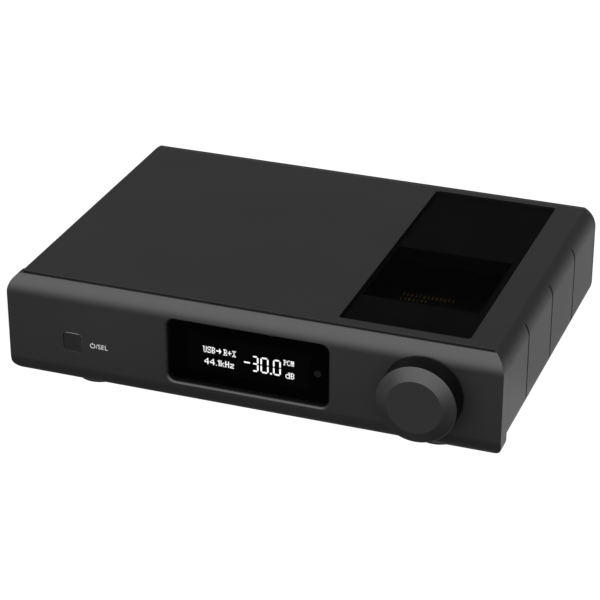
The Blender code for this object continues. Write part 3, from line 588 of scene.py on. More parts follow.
def make_window():
    middle = (GLASS_LOW + GLASS_HIGH) / 2
    width, length = GLASS_HIGH.x - GLASS_LOW.x, GLASS_HIGH.y - GLASS_LOW.y
    outline = rounded(width, length, WINDOW_CORNER)
    print_thick = 0.15
    glass_thick = WALL - print_thick - 0.05
    pane = slab("window_pane", [outline], glass_thick, "Z", (middle.x, middle.y, TOP_Z - glass_thick / 2))
    settle(pane, "smoked_glass", "window_glass", ["top_window"], 0.2, 2)
    clear = (CLEAR_X[1] - CLEAR_X[0], CLEAR_Y[1] - CLEAR_Y[0])
    offset = (sum(CLEAR_X) / 2 - middle.x + 0.25, sum(CLEAR_Y) / 2 - middle.y - 0.7)
    border = [rounded(width - 0.3, length - 0.3, WINDOW_CORNER), rounded(*clear, 1.0, offset)]
    at = (middle.x, middle.y, TOP_Z - WALL + print_thick / 2)
    settle(slab("window_border", border, print_thick, "Z", at), "smoked_glass", "window_print")


def make_lens():
    outline = rounded(LENS_SIZE.x, LENS_SIZE.z, LENS_CORNER)
    lens = slab("display_lens", [outline], LENS_SIZE.y, "Y", (0, LENS.y, LENS.z))
    settle(lens, "lens", "lens_glass", ["display_window"], 0.25, 2)


def lettering(name, text, low, high, y):
    """Flat lettering that faces forward, fitted between two (x, z) corners, just proud of the plane y."""
    curve = bpy.data.curves.new(name, "FONT")
    curve.body = text
    curve.extrude = 0.5
    curve.resolution_u = 4
    guide = bpy.data.objects.new(name, curve)
    scene.collection.objects.link(guide)
    graph = bpy.context.evaluated_depsgraph_get()
    mesh = bpy.data.meshes.new_from_object(guide.evaluated_get(graph))
    bpy.data.objects.remove(guide)
    left, right = min(v.co.x for v in mesh.vertices), max(v.co.x for v in mesh.vertices)
    bottom, top = min(v.co.y for v in mesh.vertices), max(v.co.y for v in mesh.vertices)
    for vert in mesh.vertices:
        u = low[0] + (vert.co.x - left) / (right - left) * (high[0] - low[0])
        v = low[1] + (vert.co.y - bottom) / (top - bottom) * (high[1] - low[1])
        vert.co = Vector((u, y - (vert.co.z + 0.5) * PRINT_THICK, v)) * MM
    return add(name, mesh)


DOT_ROWS = 7
DOT_LETTERS = {
    "U": "##  #| #  #| #  #| #  #| #  #| #  #|  ## ",
    "S": " ####|#   #|#    | ### |    #|#   #|#### ",
    "B": "### |#  #|#  #|### |#  #|#  #|### ",
    "R": "#### | #  #| #  #| ### | # # | #  #|## ##",
    "+": "     |  #  |  #  |#####|  #  |  #  |     ",
    "X": "## ##| # # |  #  |  #  |  #  | # # |## ##",
    "4": "   # |  ## | # # |#  # |#####|   # |   # ",
    ".": " | | | | | |#",
    "1": " #|##| #| #| #| #| #",
    "k": "#   |#   |#  #|# # |##  |# # |#  #",
    "H": "#  #|#  #|#  #|####|#  #|#  #|#  #",
    "z": "    |    |####|   #| ## |#   |####",
    "P": "#### | #  #| #  #| ### | #   | #   |###  ",
    "C": " ### |#   #|#    |#    |#    |#   #| ### ",
    "M": "## ##|## ##|#####|# # #|# # #|# # #|# # #",
    "d": "   ##|    #| ####|#   #|#   #|#   #| ####",
}


def dot_lettering(name, text, low, high, y):
    """Rows of lit dots that spell a text, filling the space between two (x, z) corners."""
    letters = [DOT_LETTERS[letter].split("|") for letter in text]
    rows = [" ".join(letter[row] for letter in letters) for row in range(DOT_ROWS)]
    wide, tall = (high[0] - low[0]) / len(rows[0]), (high[1] - low[1]) / DOT_ROWS
    dots = []
    for number, row in enumerate(rows):
        top = high[1] - number * tall
        for run in re.finditer("#+", row):
            left, right = low[0] + run.start() * wide, low[0] + run.end() * wide
            dots.append(((left, y - PRINT_THICK, top - tall + 0.01), (right, y, top - 0.01)))
    return gather(name, dots)


def digit_segments(lit, low, high, stroke):
    """Outlines of the lit bars of one seven-bar digit between two (x, z) corners."""
    (x0, z0), (x1, z1) = low, high
    half = stroke / 2
    middle = (z0 + z1) / 2
    slit = 0.18

    def bar(u0, v0, u1, v1):
        low_u, low_v = u0 + half, v0 + half
        if v0 == v1:
            high_u, under = u1 - half, v0 - half
            return [(u0, v0), (low_u, low_v), (high_u, low_v), (u1, v0), (high_u, under), (low_u, under)]
        beside, high_v = u0 - half, v1 - half
        return [(u0, v0), (low_u, low_v), (low_u, high_v), (u0, v1), (beside, high_v), (beside, low_v)]

    xa, xb, za, zb = x0 + half, x1 - half, z0 + half, z1 - half
    bars = {
        "top": (xa + slit, zb, xb - slit, zb),
        "middle": (xa + slit, middle, xb - slit, middle),
        "bottom": (xa + slit, za, xb - slit, za),
        "upper_left": (xa, middle + slit, xa, zb - slit),
        "lower_left": (xa, za + slit, xa, middle - slit),
        "upper_right": (xb, middle + slit, xb, zb - slit),
        "lower_right": (xb, za + slit, xb, middle - slit),
    }
    return [bar(*bars[name]) for name in lit]


def place_at(x, z, y):
    """The point at depth y seen behind the front face's point (x, z) from the front right."""
    deep = y - FRONT_Y
    return (x + SIGHT[0] * deep, y, PANEL_Z + z + SIGHT[1] * deep)


def make_readout():
    """The level, its unit and the input and sample rate, lit on the face of the display module."""
    low = span("display_module")[0]
    face_y = low.y - 0.02

    def place(x, z):
        return place_at(x, z, face_y)[::2]

    area_low, area_high = place(-29.5, 14.1), place(30.3, 34.5)
    middle = ((area_low[0] + area_high[0]) / 2, (area_low[1] + area_high[1]) / 2)
    outline = rounded(area_high[0] - area_low[0], area_high[1] - area_low[1], 0.3)
    area = slab("display_area", [outline], 0.02, "Y", (middle[0], low.y - 0.005, middle[1]))
    settle(area, "screen", "screen_area")
    make_lens_print()
    ring = ("top", "bottom", "upper_left", "lower_left", "upper_right", "lower_right")
    three = ("top", "middle", "bottom", "upper_right", "lower_right")
    bars = [rounded(2.7, 0.7, 0.1, place(0.1, 23.9), 1), rounded(0.8, 0.8, 0.1, place(10.9, 20.5), 1)]
    for lit, left, right in ((three, 2.2, 5.3), (ring, 6.15, 9.85), (ring, 11.8, 15.35)):
        bars += digit_segments(lit, place(left, 20.1), place(right, 27.6), 0.72)
    upper = [(-13.9, 0.28), (-12.4, 0.28), (-12.6, 1.2), (-12.3, 1.2), (-11.45, 0.0)]
    arrow = upper + [(x, -z) for x, z in upper[-2::-1]]
    bars.append([place(x, 26.85 + z) for x, z in arrow])
    level = slab("readout_level", bars, 2 * PRINT_THICK, "Y", (0, face_y, 0))
    settle(level, "screen", "readout", flats=0.01)
    rows = (
        ("readout_input", "USB", (-19.95, 25.3), (-14.4, 28.3)),
        ("readout_source", "R+X", (-10.6, 25.3), (-4.9, 28.2)),
        ("readout_rate", "44.1kHz", (-19.3, 19.7), (-5.9, 22.7)),
        ("readout_format", "PCM", (16.5, 25.7), (21.2, 28.2)),
        ("readout_unit", "dB", (17.4, 19.6), (21.3, 22.5)),
    )
    for name, text, corner, other in rows:
        row = dot_lettering(name, text, place(*corner), place(*other), face_y)
        settle(row, "screen", "readout", flats=0.01)


def make_lens_print():
    """The black print behind the lens, open over the display, and the dark spot over the receiver."""
    back_y = LENS_FRONT_Y + LENS_SIZE.y
    low_x, _, low_z = place_at(-28.0, 15.6, back_y)
    high_x, _, high_z = place_at(28.8, 33.0, back_y)
    middle = ((low_x + high_x) / 2, (low_z + high_z) / 2 - LENS.z)
    opening = rounded(high_x - low_x, high_z - low_z, 0.3, middle)
    edge = rounded(LENS_SIZE.x, LENS_SIZE.z, LENS_CORNER)
    border = slab("lens_print", [edge, opening], 0.1, "Y", (0, back_y + 0.11, LENS.z))
    settle(border, "lens", "screen_black")
    spot = slab("receiver_spot", [circle(1.6)], 0.04, "Y", place_at(31.7, 24.4, back_y + 0.03))
    settle(spot, "black_plastic", "spot_grey")


def make_button():
    low = span("power_button")[0]
    flange_y = FRONT_Y + FRONT_WALL + GAP + 0.5
    cap_deep = flange_y - low.y
    face = rounded(BUTTON_SIZE, BUTTON_SIZE, BUTTON_CORNER)
    cap = slab("button_cap", [face], cap_deep, "Y", (BUTTON.x, low.y + cap_deep / 2, BUTTON.z))
    flange = rounded(BUTTON_FLANGE, BUTTON_FLANGE, 1.8)
    join(cap, slab("cap_flange", [flange], 1.0, "Y", (BUTTON.x, flange_y, BUTTON.z)))
    piece = settle(cap, "button_plastic", "button_plastic", ["power_button"], 0.28, 2, "button")
    # the bevels of the plastic cap take the bright metal, a painted highlight on its edges
    piece.data.materials.append(FINISH["painted_edge_highlight"])
    piece.modifiers["Bevel"].material = 1


def arc_band(radius, stroke, start, stop, middle, steps=40):
    """A ring cut open between two angles in degrees, as one outline."""
    angles = [math.radians(start + (stop - start) * k / steps) for k in range(steps + 1)]
    outer = [(radius + stroke / 2, a) for a in angles]
    inner = [(radius - stroke / 2, a) for a in reversed(angles)]
    return [(middle[0] + r * math.cos(a), middle[1] + r * math.sin(a)) for r, a in outer + inner]


def make_legend():
    """A power symbol and the word for the button's second use, printed beside it."""
    middle = (-71.05, PANEL_Z + 18.85)
    stroke = rounded(0.34, 1.1, 0.1, (middle[0], middle[1] + 0.9), 1)
    marks = [arc_band(1.05, 0.36, 118, 422, middle), stroke]
    symbol = slab("power_symbol", marks, PRINT_THICK, "Y", (0, FRONT_Y - PRINT_THICK / 2, 0))
    settle(symbol, "case_metal", "print_white", flats=0.01)
    low, high = (-69.6, PANEL_Z + 17.75), (-63.9, PANEL_Z + 19.95)
    settle(lettering("button_legend", "/SEL", low, high, FRONT_Y), "case_metal", "print_white")


def make_feet():
    """Turned feet with a soft pad let into each one."""
    for end in ("front", "rear"):
        for side in ("left", "right"):
            low, high = span(f"foot_{end}_{side}")
            radius, height = (high.x - low.x) / 2, high.z
            middle = (low + high) / 2
            cup = [(0, height), (radius - 1.2, height), (radius - 1.05, height - 1.4)]
            cup += [(radius - 0.9, height - 1.6), (radius - 0.1, height - 2.1), (radius, height - 2.4)]
            cup += [(radius, 0.75), (radius - 0.06, 0.55), (radius - 0.2, 0.43), (radius - 0.4, 0.4)]
            cup += [(9.0, 0.4), (8.9, 0.5), (8.9, 1.6), (0, 1.6)]
            at = (middle.x, middle.y, 0)
            foot = turned(f"foot_cup_{end}_{side}", cup, "Z", at, 96)
            settle(foot, "black_plastic", "black_plastic", [f"foot_{end}_{side}"], flats=0.01)
            pad = [(0, 1.3), (8.6, 1.3), (8.6, 0.4), (8.45, 0.12), (8.1, 0.0), (5.0, 0.0), (4.7, 0.25)]
            pad += [(4.4, 0.25), (4.1, 0.0), (0, 0.0)]
            soft = turned(f"foot_sole_{end}_{side}", pad, "Z", at, 96)
            settle(soft, "foot_rubber", "foot_rubber", [f"foot_pad_{end}_{side}"], flats=0.01)


def make_ladder_parts():
    """Rows of small resistors with plated ends on the ladder board under the window."""
    top = span("ladder_board")[1].z + 0.02
    plated = [(41.4 + 1.9 * column, 82.0) for column in range(7)]
    plated += [(41.4 + 1.9 * column, 86.4) for column in range(13)]
    plain = [(41.4 + 1.9 * column, 90.8) for column in range(8)]
    plain += [(73.6 + 1.6 * column, 80.6 + 2.1 * row) for row in range(6) for column in range(2)]
    bodies, ends = [], []
    for x, behind in plated + plain:
        y = FRONT_Y + behind
        bodies.append(((x - 0.36, y - 0.5, top), (x + 0.36, y + 0.5, top + 0.4)))
    for x, behind in plated:
        for near in (FRONT_Y + behind - 0.85, FRONT_Y + behind + 0.5):
            ends.append(((x - 0.38, near, top), (x + 0.38, near + 0.35, top + 0.42)))
    settle(gather("ladder_resistors", bodies), "circuit_board", "inner_black", bevel=0.05, segments=1)
    settle(gather("ladder_plating", ends), "gold_metal", "dull_gold", bevel=0.05, segments=1)


# --- rear and underside ---

# (width, height, corner radius) of the square sockets where they pass through the rear panel
INLET = (26.6, 19.6, 2.0)
ROCKER_FRAME = (13.0, 19.4, 1.0)
USB_SHELL = (12.0, 10.8, 0.5)
OPTICAL_BODY = (9.6, 9.6, 0.5)
DIGITAL_SHELL = (15.4, 6.4, 0.5)
SQUARE_HOLES = {
    "mains_inlet": INLET,
    "rocker_frame": ROCKER_FRAME,
    "usb_socket": USB_SHELL,
    "optical_socket": OPTICAL_BODY,
    "digital_socket": DIGITAL_SHELL,
}

# Radii of the round ones
JACK_RADIUS = 3.3
ANTENNA_RADIUS = 3.1
PHONO_RADIUS = 4.6
BALANCED_RADIUS = 9.4
BALANCED_SOCKETS = ("balanced_in", "balanced_out_left", "balanced_out_right")
ROUND_HOLES = {
    **dict.fromkeys(("trigger_in", "trigger_out"), JACK_RADIUS),
    "antenna_socket": ANTENNA_RADIUS,
    **dict.fromkeys(("coax_socket", "line_out_left", "line_out_right"), PHONO_RADIUS),
    **dict.fromkeys(BALANCED_SOCKETS, BALANCED_RADIUS),
}
CONTACT_CIRCLE = 5.2
SCREW_RECESS = (1.3, 0.28)  # half length and half width of one bar of the cross
ROCKER_REST = math.radians(12)


def make_screws(name, axis, outward, places):
    """Low round-headed screws with a crossed recess; outward is the sign of the height along the axis."""
    profile = [(0, 0.5), (1.3, 0.5), (1.9, 0.36), (2.3, 0.12), (2.4, -0.1), (0, -0.1)]
    head = turned(f"{name}_head", [(r, outward * h) for r, h in profile], axis, (0, 0, 0), 32)
    lift = AXES[axis] @ Vector((0, 0, outward * 1.15))
    for turn, bar in enumerate((SCREW_RECESS, SCREW_RECESS[::-1])):
        reach = Vector([abs(part) for part in AXES[axis] @ Vector((*bar, 1.0))])
        cut(head, box(f"{name}_recess_{turn}", -reach + lift, reach + lift))
    settle(scatter(name, head, places), "case_metal", "screw_steel", flats=0.01)


def make_rear_plate():
    outer = half_section(CASE_Z, CASE_TOP_INSET, CASE_BOTTOM_INSET)
    outlines = [outer + mirrored(outer)]
    for node, (width, height, corner) in SQUARE_HOLES.items():
        at = centre(node)
        outlines.append(rounded(width + 2 * SEAM, height + 2 * SEAM, corner, (at.x, at.z)))
    for node, radius in ROUND_HOLES.items():
        at = centre(node)
        outlines.append(circle(radius + SEAM, (at.x, at.z)))
    thick = REAR_HIGH.y - REAR_LOW.y
    plate = slab("rear_plate", outlines, thick, "Y", (0, REAR_Y - thick / 2, 0))
    settle(plate, "case_metal", "rear_metal", ["rear_panel"], 0.1)
    middle = (CASE_Z + TOP_Z) / 2
    places = [(sign * 104.0, REAR_Y, middle + lift) for sign in (-1, 1) for lift in (-13.0, 13.0)]
    for node in BALANCED_SOCKETS:
        at = centre(node)
        places += [(at.x + sign * 8.8, REAR_Y, at.z - sign * 8.8) for sign in (-1, 1)]
    make_screws("rear_screws", "back", 1, places)


def make_base():
    low, high = span("bottom_plate")
    middle = (low + high) / 2
    outlines = [rounded(high.x - low.x, high.y - low.y, 1.0)]
    for column in (-1, 1):
        for row in range(6):
            outlines.append(rounded(34.0, 2.2, 1.09, (column * 30.0, 8.0 * (row - 2.5)), 6))
    plate = slab("base_plate", outlines, high.z - low.z, "Z", middle)
    settle(plate, "case_metal", "rear_metal", ["bottom_plate"], 0.1)
    xs, ys = (low.x + 5.0, 0.0, high.x - 5.0), (low.y + 6.0, high.y - 6.0)
    make_screws("base_screws", "Z", -1, [(x, y, low.z) for x in xs for y in ys])


def make_inlet():
    at = centre("mains_inlet")
    x, z = at.x, at.z
    body = slab("inlet_body", [rounded(*INLET, (x, z))], 20.0, "Y", (0, REAR_Y - 8.0, 0))
    flange = rounded(31.0, 23.0, 2.5, (x, z))
    join(body, slab("inlet_rim", [flange], 2.0, "Y", (0, REAR_Y + GAP + 1.0, 0)))
    corners = ((-12, -8), (12, -8), (12, 3), (7.5, 8), (-7.5, 8), (-12, 3))
    cavity = [(x + u, z + v) for u, v in corners]
    cut(body, slab("inlet_mouth", [cavity], 15.0, "Y", (0, REAR_Y - 4.5, 0)))
    settle(body, "black_plastic", "black_plastic", ["mains_inlet"], 0.35, 3)
    blades = []
    for across, up in ((-7.0, -2.0), (7.0, -2.0), (0.0, 2.5)):
        low = (x + across - 1.0, REAR_Y - 12.1, z + up - 2.0)
        blades.append((low, (low[0] + 2.0, REAR_Y + 0.5, low[2] + 4.0)))
    settle(gather("inlet_blades", blades), "bright_metal", bevel=0.35, segments=2)


def make_rocker():
    at = centre("rocker_frame")
    pivot = Vector((at.x, REAR_Y, at.z))
    surround = slab("rocker_surround", [rounded(*ROCKER_FRAME)], 16.0, "Y", pivot - Vector((0, 6.0, 0)))
    rim_at = pivot + Vector((0, GAP + 0.8, 0))
    join(surround, slab("surround_rim", [rounded(15.4, 21.8, 1.5)], 1.6, "Y", rim_at))
    cut(surround, slab("surround_well", [rounded(10.6, 17.2, 0.6)], 14.0, "Y", pivot))
    settle(surround, "black_plastic", "black_plastic", ["rocker_frame"], 0.3, 3)
    side = [(-3.0, -3.0), (0.4, -7.7), (3.3, -7.6), (2.2, 0.0), (3.3, 7.6), (0.4, 7.7), (-3.0, 3.0)]
    cap = slab("rocker_cap", [side], 10.0, "X", pivot)
    cap.rotation_euler.x = ROCKER_REST
    settle(cap, "black_plastic", "black_plastic", ["power_rocker"], 0.25, 3, "rocker")
    tilt = Matrix.Rotation(ROCKER_REST, 4, "X")
    slope = math.atan2(1.1, 7.6)
    line, ring = [rounded(0.7, 3.0, 0.1, steps=1)], [circle(1.5), circle(0.95)]
    for name, outlines, end in (("rocker_on", line, -1), ("rocker_off", ring, 1)):
        mark = slab(name, outlines, 0.04, "back", (0, 0, 0))
        face = Matrix.Translation(Vector((0, 2.78, end * 3.8)) * MM) @ Matrix.Rotation(-end * slope, 4, "X")
        mark.matrix_world = Matrix.Translation(pivot * MM) @ tilt @ face
        bpy.context.view_layer.update()
        settle(mark, "black_plastic", "print_white", body="rocker", flats=0.01)


def make_shell(name, node, outside, inside, slot):
    """A square socket's body with its mouth, whose outline is given about the socket's middle."""
    at = centre(node)
    shell = slab(name, [rounded(*outside)], 13.0, "Y", (at.x, REAR_Y - 6.0, at.z))
    cut(shell, slab(f"{name}_mouth", [inside], 12.0, "Y", (at.x, REAR_Y - 3.0, at.z)))
    settle(shell, slot, slot, [node], 0.15, 2)


def make_square_sockets():
    """The data sockets: a pressed shell, a tongue with contacts, and a hinged flap in the optical one."""
    half = [(-7.0, 2.3), (-7.0, -0.6), (-5.4, -2.3)]
    digital_mouth = half + [(-x, z) for x, z in reversed(half)]
    usb_mouth, optical_mouth = rounded(8.6, 7.8, 0.3), rounded(6.4, 6.4, 0.3)
    make_shell("usb_shell", "usb_socket", USB_SHELL, usb_mouth, "bright_metal")
    make_shell("digital_shell", "digital_socket", DIGITAL_SHELL, digital_mouth, "bright_metal")
    make_shell("optical_body", "optical_socket", OPTICAL_BODY, optical_mouth, "black_plastic")
    tongues, contacts = [], []
    # node, tongue width and height, contacts on each face and the pitch between them
    rows = (("usb_socket", 5.6, 3.2, 2, 2.4), ("digital_socket", 11.6, 1.2, 10, 1.0))
    for node, wide, tall, count, pitch in rows:
        at = centre(node)
        levels = (at.z - tall / 2, at.z + tall / 2)
        low = (at.x - wide / 2, REAR_Y - 9.0, levels[0])
        tongues.append((low, (at.x + wide / 2, REAR_Y - 0.5, levels[1])))
        half_wide = min(0.35 * pitch, 0.6) / 2
        for number in range(count):
            x = at.x + (number - (count - 1) / 2) * pitch
            for level in levels:
                low = (x - half_wide, REAR_Y - 8.6, level - 0.06)
                contacts.append((low, (x + half_wide, REAR_Y - 0.9, level + 0.06)))
    tongue = gather("socket_tongues", tongues)
    settle(tongue, "black_plastic", bevel=0.15, segments=2)
    settle(gather("socket_contacts", contacts), "gold_metal", bevel=0.03, segments=1)
    at = centre("optical_socket")
    x, y, z = at.x, REAR_Y, at.z
    flap = box("optical_flap", (x - 3.1, y - 2.6, z - 3.1), (x + 3.1, y - 2.0, z + 3.1))
    pull = box("flap_pull", (x - 1.0, y - 2.2, z - 2.6), (x + 1.0, y - 1.5, z - 2.0))
    join(flap, pull)
    settle(flap, "black_plastic", bevel=0.12, segments=2)


def ring_of(name, profile, at, slot, finish=None, replaces=(), steps=64):
    """A turned ring about the rear axis through a place, as (radius, distance out from the rear face)."""
    ring = turned(name, profile, "back", (at.x, REAR_Y, at.z), steps, ring=True)
    settle(ring, slot, finish, replaces, flats=0.01)


def make_phono_sockets():
    outer = PHONO_RADIUS
    barrel = [(outer, -6.0), (outer, 1.3), (4.45, 1.5), (4.2, 1.5), (4.2, 8.1), (3.95, 8.5)]
    barrel += [(3.6, 8.5), (3.4, 8.25), (3.4, -6.0)]
    insulator = [(3.38, -6.0), (3.38, 7.7), (3.2, 7.85), (1.8, 7.85), (1.8, -6.0)]
    sleeve = [(1.78, -6.0), (1.78, 8.0), (1.62, 8.2), (1.36, 8.2), (1.2, 8.0), (1.2, -6.0)]
    colours = {
        "coax_socket": "amber_plastic",
        "line_out_left": "white_plastic",
        "line_out_right": "red_plastic",
    }
    for node, plastic in colours.items():
        at = centre(node)
        ring_of(f"{node}_barrel", barrel, at, "gold_metal", "gold_metal", [node])
        ring_of(f"{node}_insulator", insulator, at, "gold_metal", plastic)
        ring_of(f"{node}_sleeve", sleeve, at, "gold_metal", steps=40)


def make_small_jacks():
    outer = JACK_RADIUS
    body = [(outer, -11.0), (outer, 0.45), (3.1, 0.7), (2.85, 0.8), (2.2, 0.8), (2.0, 0.6), (2.0, -11.0)]
    liner = [(1.98, -5.0), (1.98, 0.35), (1.8, 0.35), (1.8, -5.0)]
    for node in ("trigger_in", "trigger_out"):
        at = centre(node)
        ring_of(f"{node}_body", body, at, "black_plastic", "black_plastic", [node])
        ring_of(f"{node}_liner", liner, at, "black_plastic", "bright_metal", steps=40)


def make_antenna_socket():
    at = centre("antenna_socket")
    outer = ANTENNA_RADIUS
    thread = []
    for turn in range(9):
        top = 7.6 - 0.62 * turn
        thread += [(outer, top), (outer, top - 0.1), (2.78, top - 0.36), (2.78, top - 0.46)]
    barrel = [(outer, -9.0), (outer, 1.9), *reversed(thread), (2.75, 8.0), (1.5, 8.0), (1.5, -9.0)]
    ring_of("antenna_barrel", barrel, at, "gold_metal", "gold_metal", ["antenna_socket"])
    insulator = [(1.48, -9.0), (1.48, 6.4), (0.5, 6.4), (0.5, -9.0)]
    ring_of("antenna_insulator", insulator, at, "gold_metal", "white_plastic")
    nut_outlines = [circle(4.6, steps=6), circle(3.12, steps=48)]
    nut = slab("antenna_nut", nut_outlines, 1.6, "Y", (at.x, REAR_Y + GAP + 0.8, at.z))
    settle(nut, "gold_metal", bevel=0.15)


def make_balanced_sockets():
    """Three-pin sockets: pins in the cups of the outputs, sprung contacts in the face of the input."""
    angles = [math.radians(degrees) for degrees in (30, 150, 270)]
    corners = [(CONTACT_CIRCLE * math.cos(a), CONTACT_CIRCLE * math.sin(a)) for a in angles]
    outer = BALANCED_RADIUS
    lip = [(outer, -14.0), (outer, 1.25), (9.28, 1.5), (9.0, 1.6)]
    shell = lip + [(8.1, 1.6), (7.85, 1.35), (7.85, -14.0)]
    insert_profile = [(0, -10.6), (7.6, -10.6), (7.8, -10.8), (7.8, -14), (0, -14)]
    pin_profile = [(0, -2.9), (0.5, -3.0), (0.95, -3.4), (1.2, -4.2), (1.2, -11.5), (0, -11.5)]
    for side in ("left", "right"):
        node = f"balanced_out_{side}"
        at = centre(node)
        ring_of(f"output_shell_{side}", shell, at, "bright_metal", "bright_metal", [node], 96)
        insert = turned(f"output_insert_{side}", insert_profile, "back", (at.x, REAR_Y, at.z), 64)
        settle(insert, "bright_metal", "black_plastic", flats=0.01)
        pin = turned(f"pin_{side}", pin_profile, "back", (0, 0, 0), 32)
        pins = scatter(f"output_pins_{side}", pin, [(at.x + u, REAR_Y, at.z + v) for u, v in corners])
        settle(pins, "bright_metal", "gold_metal", flats=0.01)
    at = centre("balanced_in")
    shell = lip + [(8.4, 1.6), (8.2, 1.4), (8.2, -14.0)]
    ring_of("input_shell", shell, at, "bright_metal", "bright_metal", ["balanced_in"], 96)
    face = [(0, 0.2), (6.9, 0.2), (7.2, -0.1), (7.2, -2.0), (8.15, -2.0), (8.15, -14.0), (0, -14.0)]
    insert = turned("input_insert", face, "back", (at.x, REAR_Y, at.z), 96)
    places = [(at.x + u, REAR_Y, at.z - v) for u, v in corners]
    for number, place in enumerate(places):
        cut(insert, slab(f"input_hole_{number}", [circle(1.3, steps=32)], 16.0, "Y", place))
    settle(insert, "bright_metal", "black_plastic", flats=0.01)
    contact_profile = [(1.28, -8.0), (1.28, -0.2), (0.95, -0.2), (0.95, -8.0)]
    contact = turned("contact_ring", contact_profile, "back", (0, 0, 0), 32, ring=True)
    settle(scatter("input_contacts", contact, places), "bright_metal", "gold_metal", flats=0.01)


# --- what the CAD's own shapes are made of ---

# Slots whose finish has another name
BY_SLOT = {
    "smoked_glass": "window_glass",
    "lens": "lens_glass",
    "screen": "screen_black",
    "circuit_board": "board_mask",
    "winding": "winding_tape",
    "capacitor": "can_sleeve",
    "ribbon": "ribbon_grey",
}


def dress_cad_shapes():
    for subpart in frame["record"]["subparts"]:
        node = frame["nodes"][subpart["node"]]
        slot = subpart["material_slot"]
        finish = "inner_black" if subpart["node"] == "window_bracket" else BY_SLOT.get(slot, slot)
        if not node.material_slots:
            node.data.materials.append(None)
        for holder in node.material_slots:
            holder.material = FINISH[finish]


def make_knob():
    out = FRONT_Y - KNOB_LOW.y
    back = FRONT_Y - KNOB_HIGH.y
    radius = (KNOB_HIGH.x - KNOB_LOW.x) / 2
    rim = out - 2.5
    profile = [(0, out), (11.75, out), (11.9, out - 0.05), (12.05, out - 0.13)]
    profile += [(radius - 0.45, rim + 0.08), (radius - 0.2, rim - 0.08), (radius - 0.05, rim - 0.25)]
    profile += [(radius, rim - 0.45), (radius, back + 0.4), (radius - 0.1, back + 0.1)]
    profile += [(radius - 0.4, back), (9.0, back), (9.0, 4.6), (3.3, 4.6), (3.3, out - 2.6), (0, out - 2.6)]
    knob = turned("knob_shell", profile, "Y", (KNOB.x, FRONT_Y, KNOB.z), 160)
    hole_at = (KNOB.x, centre("knob_set_screw").y, KNOB.z - 12.0)
    cut(knob, slab("knob_screw_hole", [circle(1.5, steps=24)], 20.0, "Z", hole_at))
    piece = settle(knob, "knob_metal", "knob_metal", ["volume_knob"], body="knob", flats=0.01)
    # the side wall faces get the darker copy of the knob metal, which paints the shade there
    piece.data.materials.append(FINISH["knob_side_painted_shade"])
    for face in piece.data.polygons:
        if abs(face.normal.y) < 0.5:
            face.material_index = 1


# --- stage ---

CAMERA_AZIMUTH = math.radians(20.301)
CAMERA_ELEVATION = math.radians(26.716)
CAMERA_DISTANCE = 1.01647
CAMERA_TARGET = Vector((-5.711, FRONT_Y + 80.0, PANEL_Z + 14.536)) * MM


def make_camera():
    data = bpy.data.cameras.new("camera")
    data.lens = 135.19
    data.sensor_width = 36.0
    camera = bpy.data.objects.new("camera", data)
    scene.collection.objects.link(camera)
    level = math.cos(CAMERA_ELEVATION)
    sideways, forward = math.sin(CAMERA_AZIMUTH) * level, -math.cos(CAMERA_AZIMUTH) * level
    away = Vector((sideways, forward, math.sin(CAMERA_ELEVATION)))
    camera.location = CAMERA_TARGET + away * CAMERA_DISTANCE
    camera.rotation_euler = away.to_track_quat("Z", "Y").to_euler()
    scene.camera = camera


def lobe(tree, direction, inner, outer, strength):
    """Soft light from one part of the sky: full inside the inner angle, none outside the outer one."""
    nodes, links = tree.nodes, tree.links
    dot = nodes.new("ShaderNodeVectorMath")
    dot.operation = "DOT_PRODUCT"
    dot.inputs[1].default_value = Vector(direction).normalized()
    links.new(nodes["Texture Coordinate"].outputs["Generated"], dot.inputs[0])
    fade = nodes.new("ShaderNodeMapRange")
    fade.interpolation_type = "SMOOTHSTEP"
    fade.inputs["From Min"].default_value = math.cos(math.radians(outer))
    fade.inputs["From Max"].default_value = math.cos(math.radians(inner))
    fade.inputs["To Max"].default_value = strength
    links.new(dot.outputs["Value"], fade.inputs["Value"])
    return fade.outputs["Result"]


def make_sky():
    world = bpy.data.worlds.new("studio")
    scene.world = world
    world.use_nodes = True
    tree = world.node_tree
    tree.nodes.new("ShaderNodeTexCoord")
    total = None
    for settings in SKY:
        part = lobe(tree, *settings)
        if total is None:
            total = part
            continue
        both = tree.nodes.new("ShaderNodeMath")
        both.operation = "ADD"
        tree.links.new(total, both.inputs[0])
        tree.links.new(part, both.inputs[1])
        total = both.outputs[0]
    tree.links.new(total, tree.nodes["Background"].inputs["Strength"])
    tree.nodes["Background"].inputs["Color"].default_value = (1.0, 1.0, 1.0, 1.0)


SKY = (
    ((0.0, 0.0, 1.0), 179.0, 180.0, 0.03),
    ((0.08, -0.60, 0.80), 39.0, 69.0, 2.95),
    ((0.45, 0.75, -0.68), 22.0, 52.0, 0.59),
    ((-0.85, -0.5, 0.05), 15.0, 45.0, 0.3),
    ((-0.3, 0.85, 0.45), 20.0, 60.0, 0.12),
)


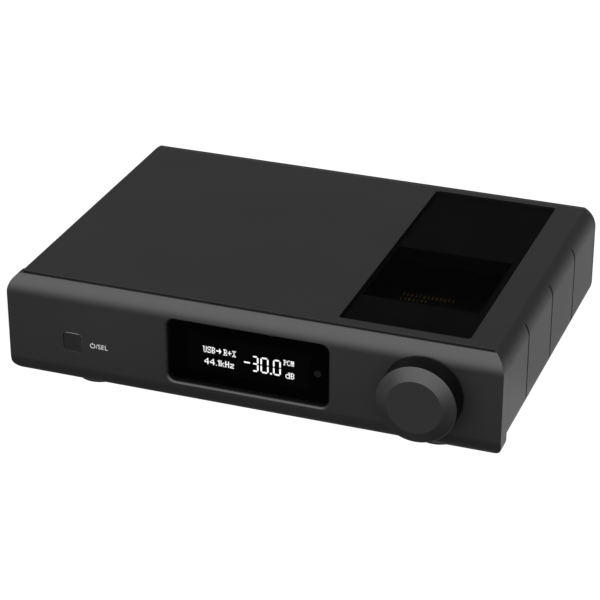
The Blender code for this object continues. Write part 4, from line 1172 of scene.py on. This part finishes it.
def make_card(name, low, high, radiance):
    """A pale card lying face up just above the floor, between two (x, y) corners."""
    data = bpy.data.lights.new(name, "AREA")
    data.shape = "RECTANGLE"
    data.size, data.size_y = (high[0] - low[0]) * MM, (high[1] - low[1]) * MM
    data.energy = radiance * math.pi * data.size * data.size_y
    card = bpy.data.objects.new(name, data)
    scene.collection.objects.link(card)
    card.location = Vector(((low[0] + high[0]) / 2, (low[1] + high[1]) / 2, 0.3)) * MM
    card.rotation_euler = (math.pi, 0.0, 0.0)
    card.visible_camera = False


FLOOR_Z = -0.2
DOME = 6000.0


def make_backdrop():
    """A white floor that sweeps up into a white dome, seen by the camera only."""
    dome = [(DOME * math.cos(a), DOME * math.sin(a)) for a in [math.pi / 2 * k / 24 for k in range(25)]]
    profile = [(0.0, FLOOR_Z), (DOME / 2, FLOOR_Z)] + dome
    mesh = evaluated(turned("backdrop_source", profile, "Z", (0, 0, 0), 48))
    backdrop = bpy.data.objects.new("backdrop", mesh)
    scene.collection.objects.link(backdrop)
    material, tree, shader = blank("backdrop_white")
    shader.inputs["Base Color"].default_value = (0.0, 0.0, 0.0, 1.0)
    shader.inputs["Specular IOR Level"].default_value = 0.0
    shader.inputs["Emission Color"].default_value = (1.0, 1.0, 1.0, 1.0)
    shader.inputs["Emission Strength"].default_value = 1.05
    mesh.materials.append(material)
    for kind in ("diffuse", "glossy", "transmission", "volume_scatter", "shadow"):
        setattr(backdrop, f"visible_{kind}", False)


make_front_panel()
make_cover()
make_window()
make_lens()
make_readout()
make_button()
make_legend()
make_feet()
make_ladder_parts()
make_rear_plate()
make_base()
make_inlet()
make_rocker()
make_square_sockets()
make_phono_sockets()
make_small_jacks()
make_antenna_socket()
make_balanced_sockets()
dress_cad_shapes()
make_knob()
make_camera()
make_sky()
make_card("front_card", (-220, FRONT_Y - 330), (160, FRONT_Y - 34), 0.1)
make_card("near_card", (-160, FRONT_Y - 34), (66, FRONT_Y - 8), 0.03)
make_card("knob_card", (20, FRONT_Y - 22), (84, FRONT_Y - 4), 0.1)
make_card("side_card", (113, FRONT_Y - 30), (220, FRONT_Y + 75), 0.2)
make_card("under_card", (-160, FRONT_Y - 8), (160, FRONT_Y + 60), 0.08)
make_backdrop()
scene.view_settings.view_transform = "Standard"
clear_helpers()
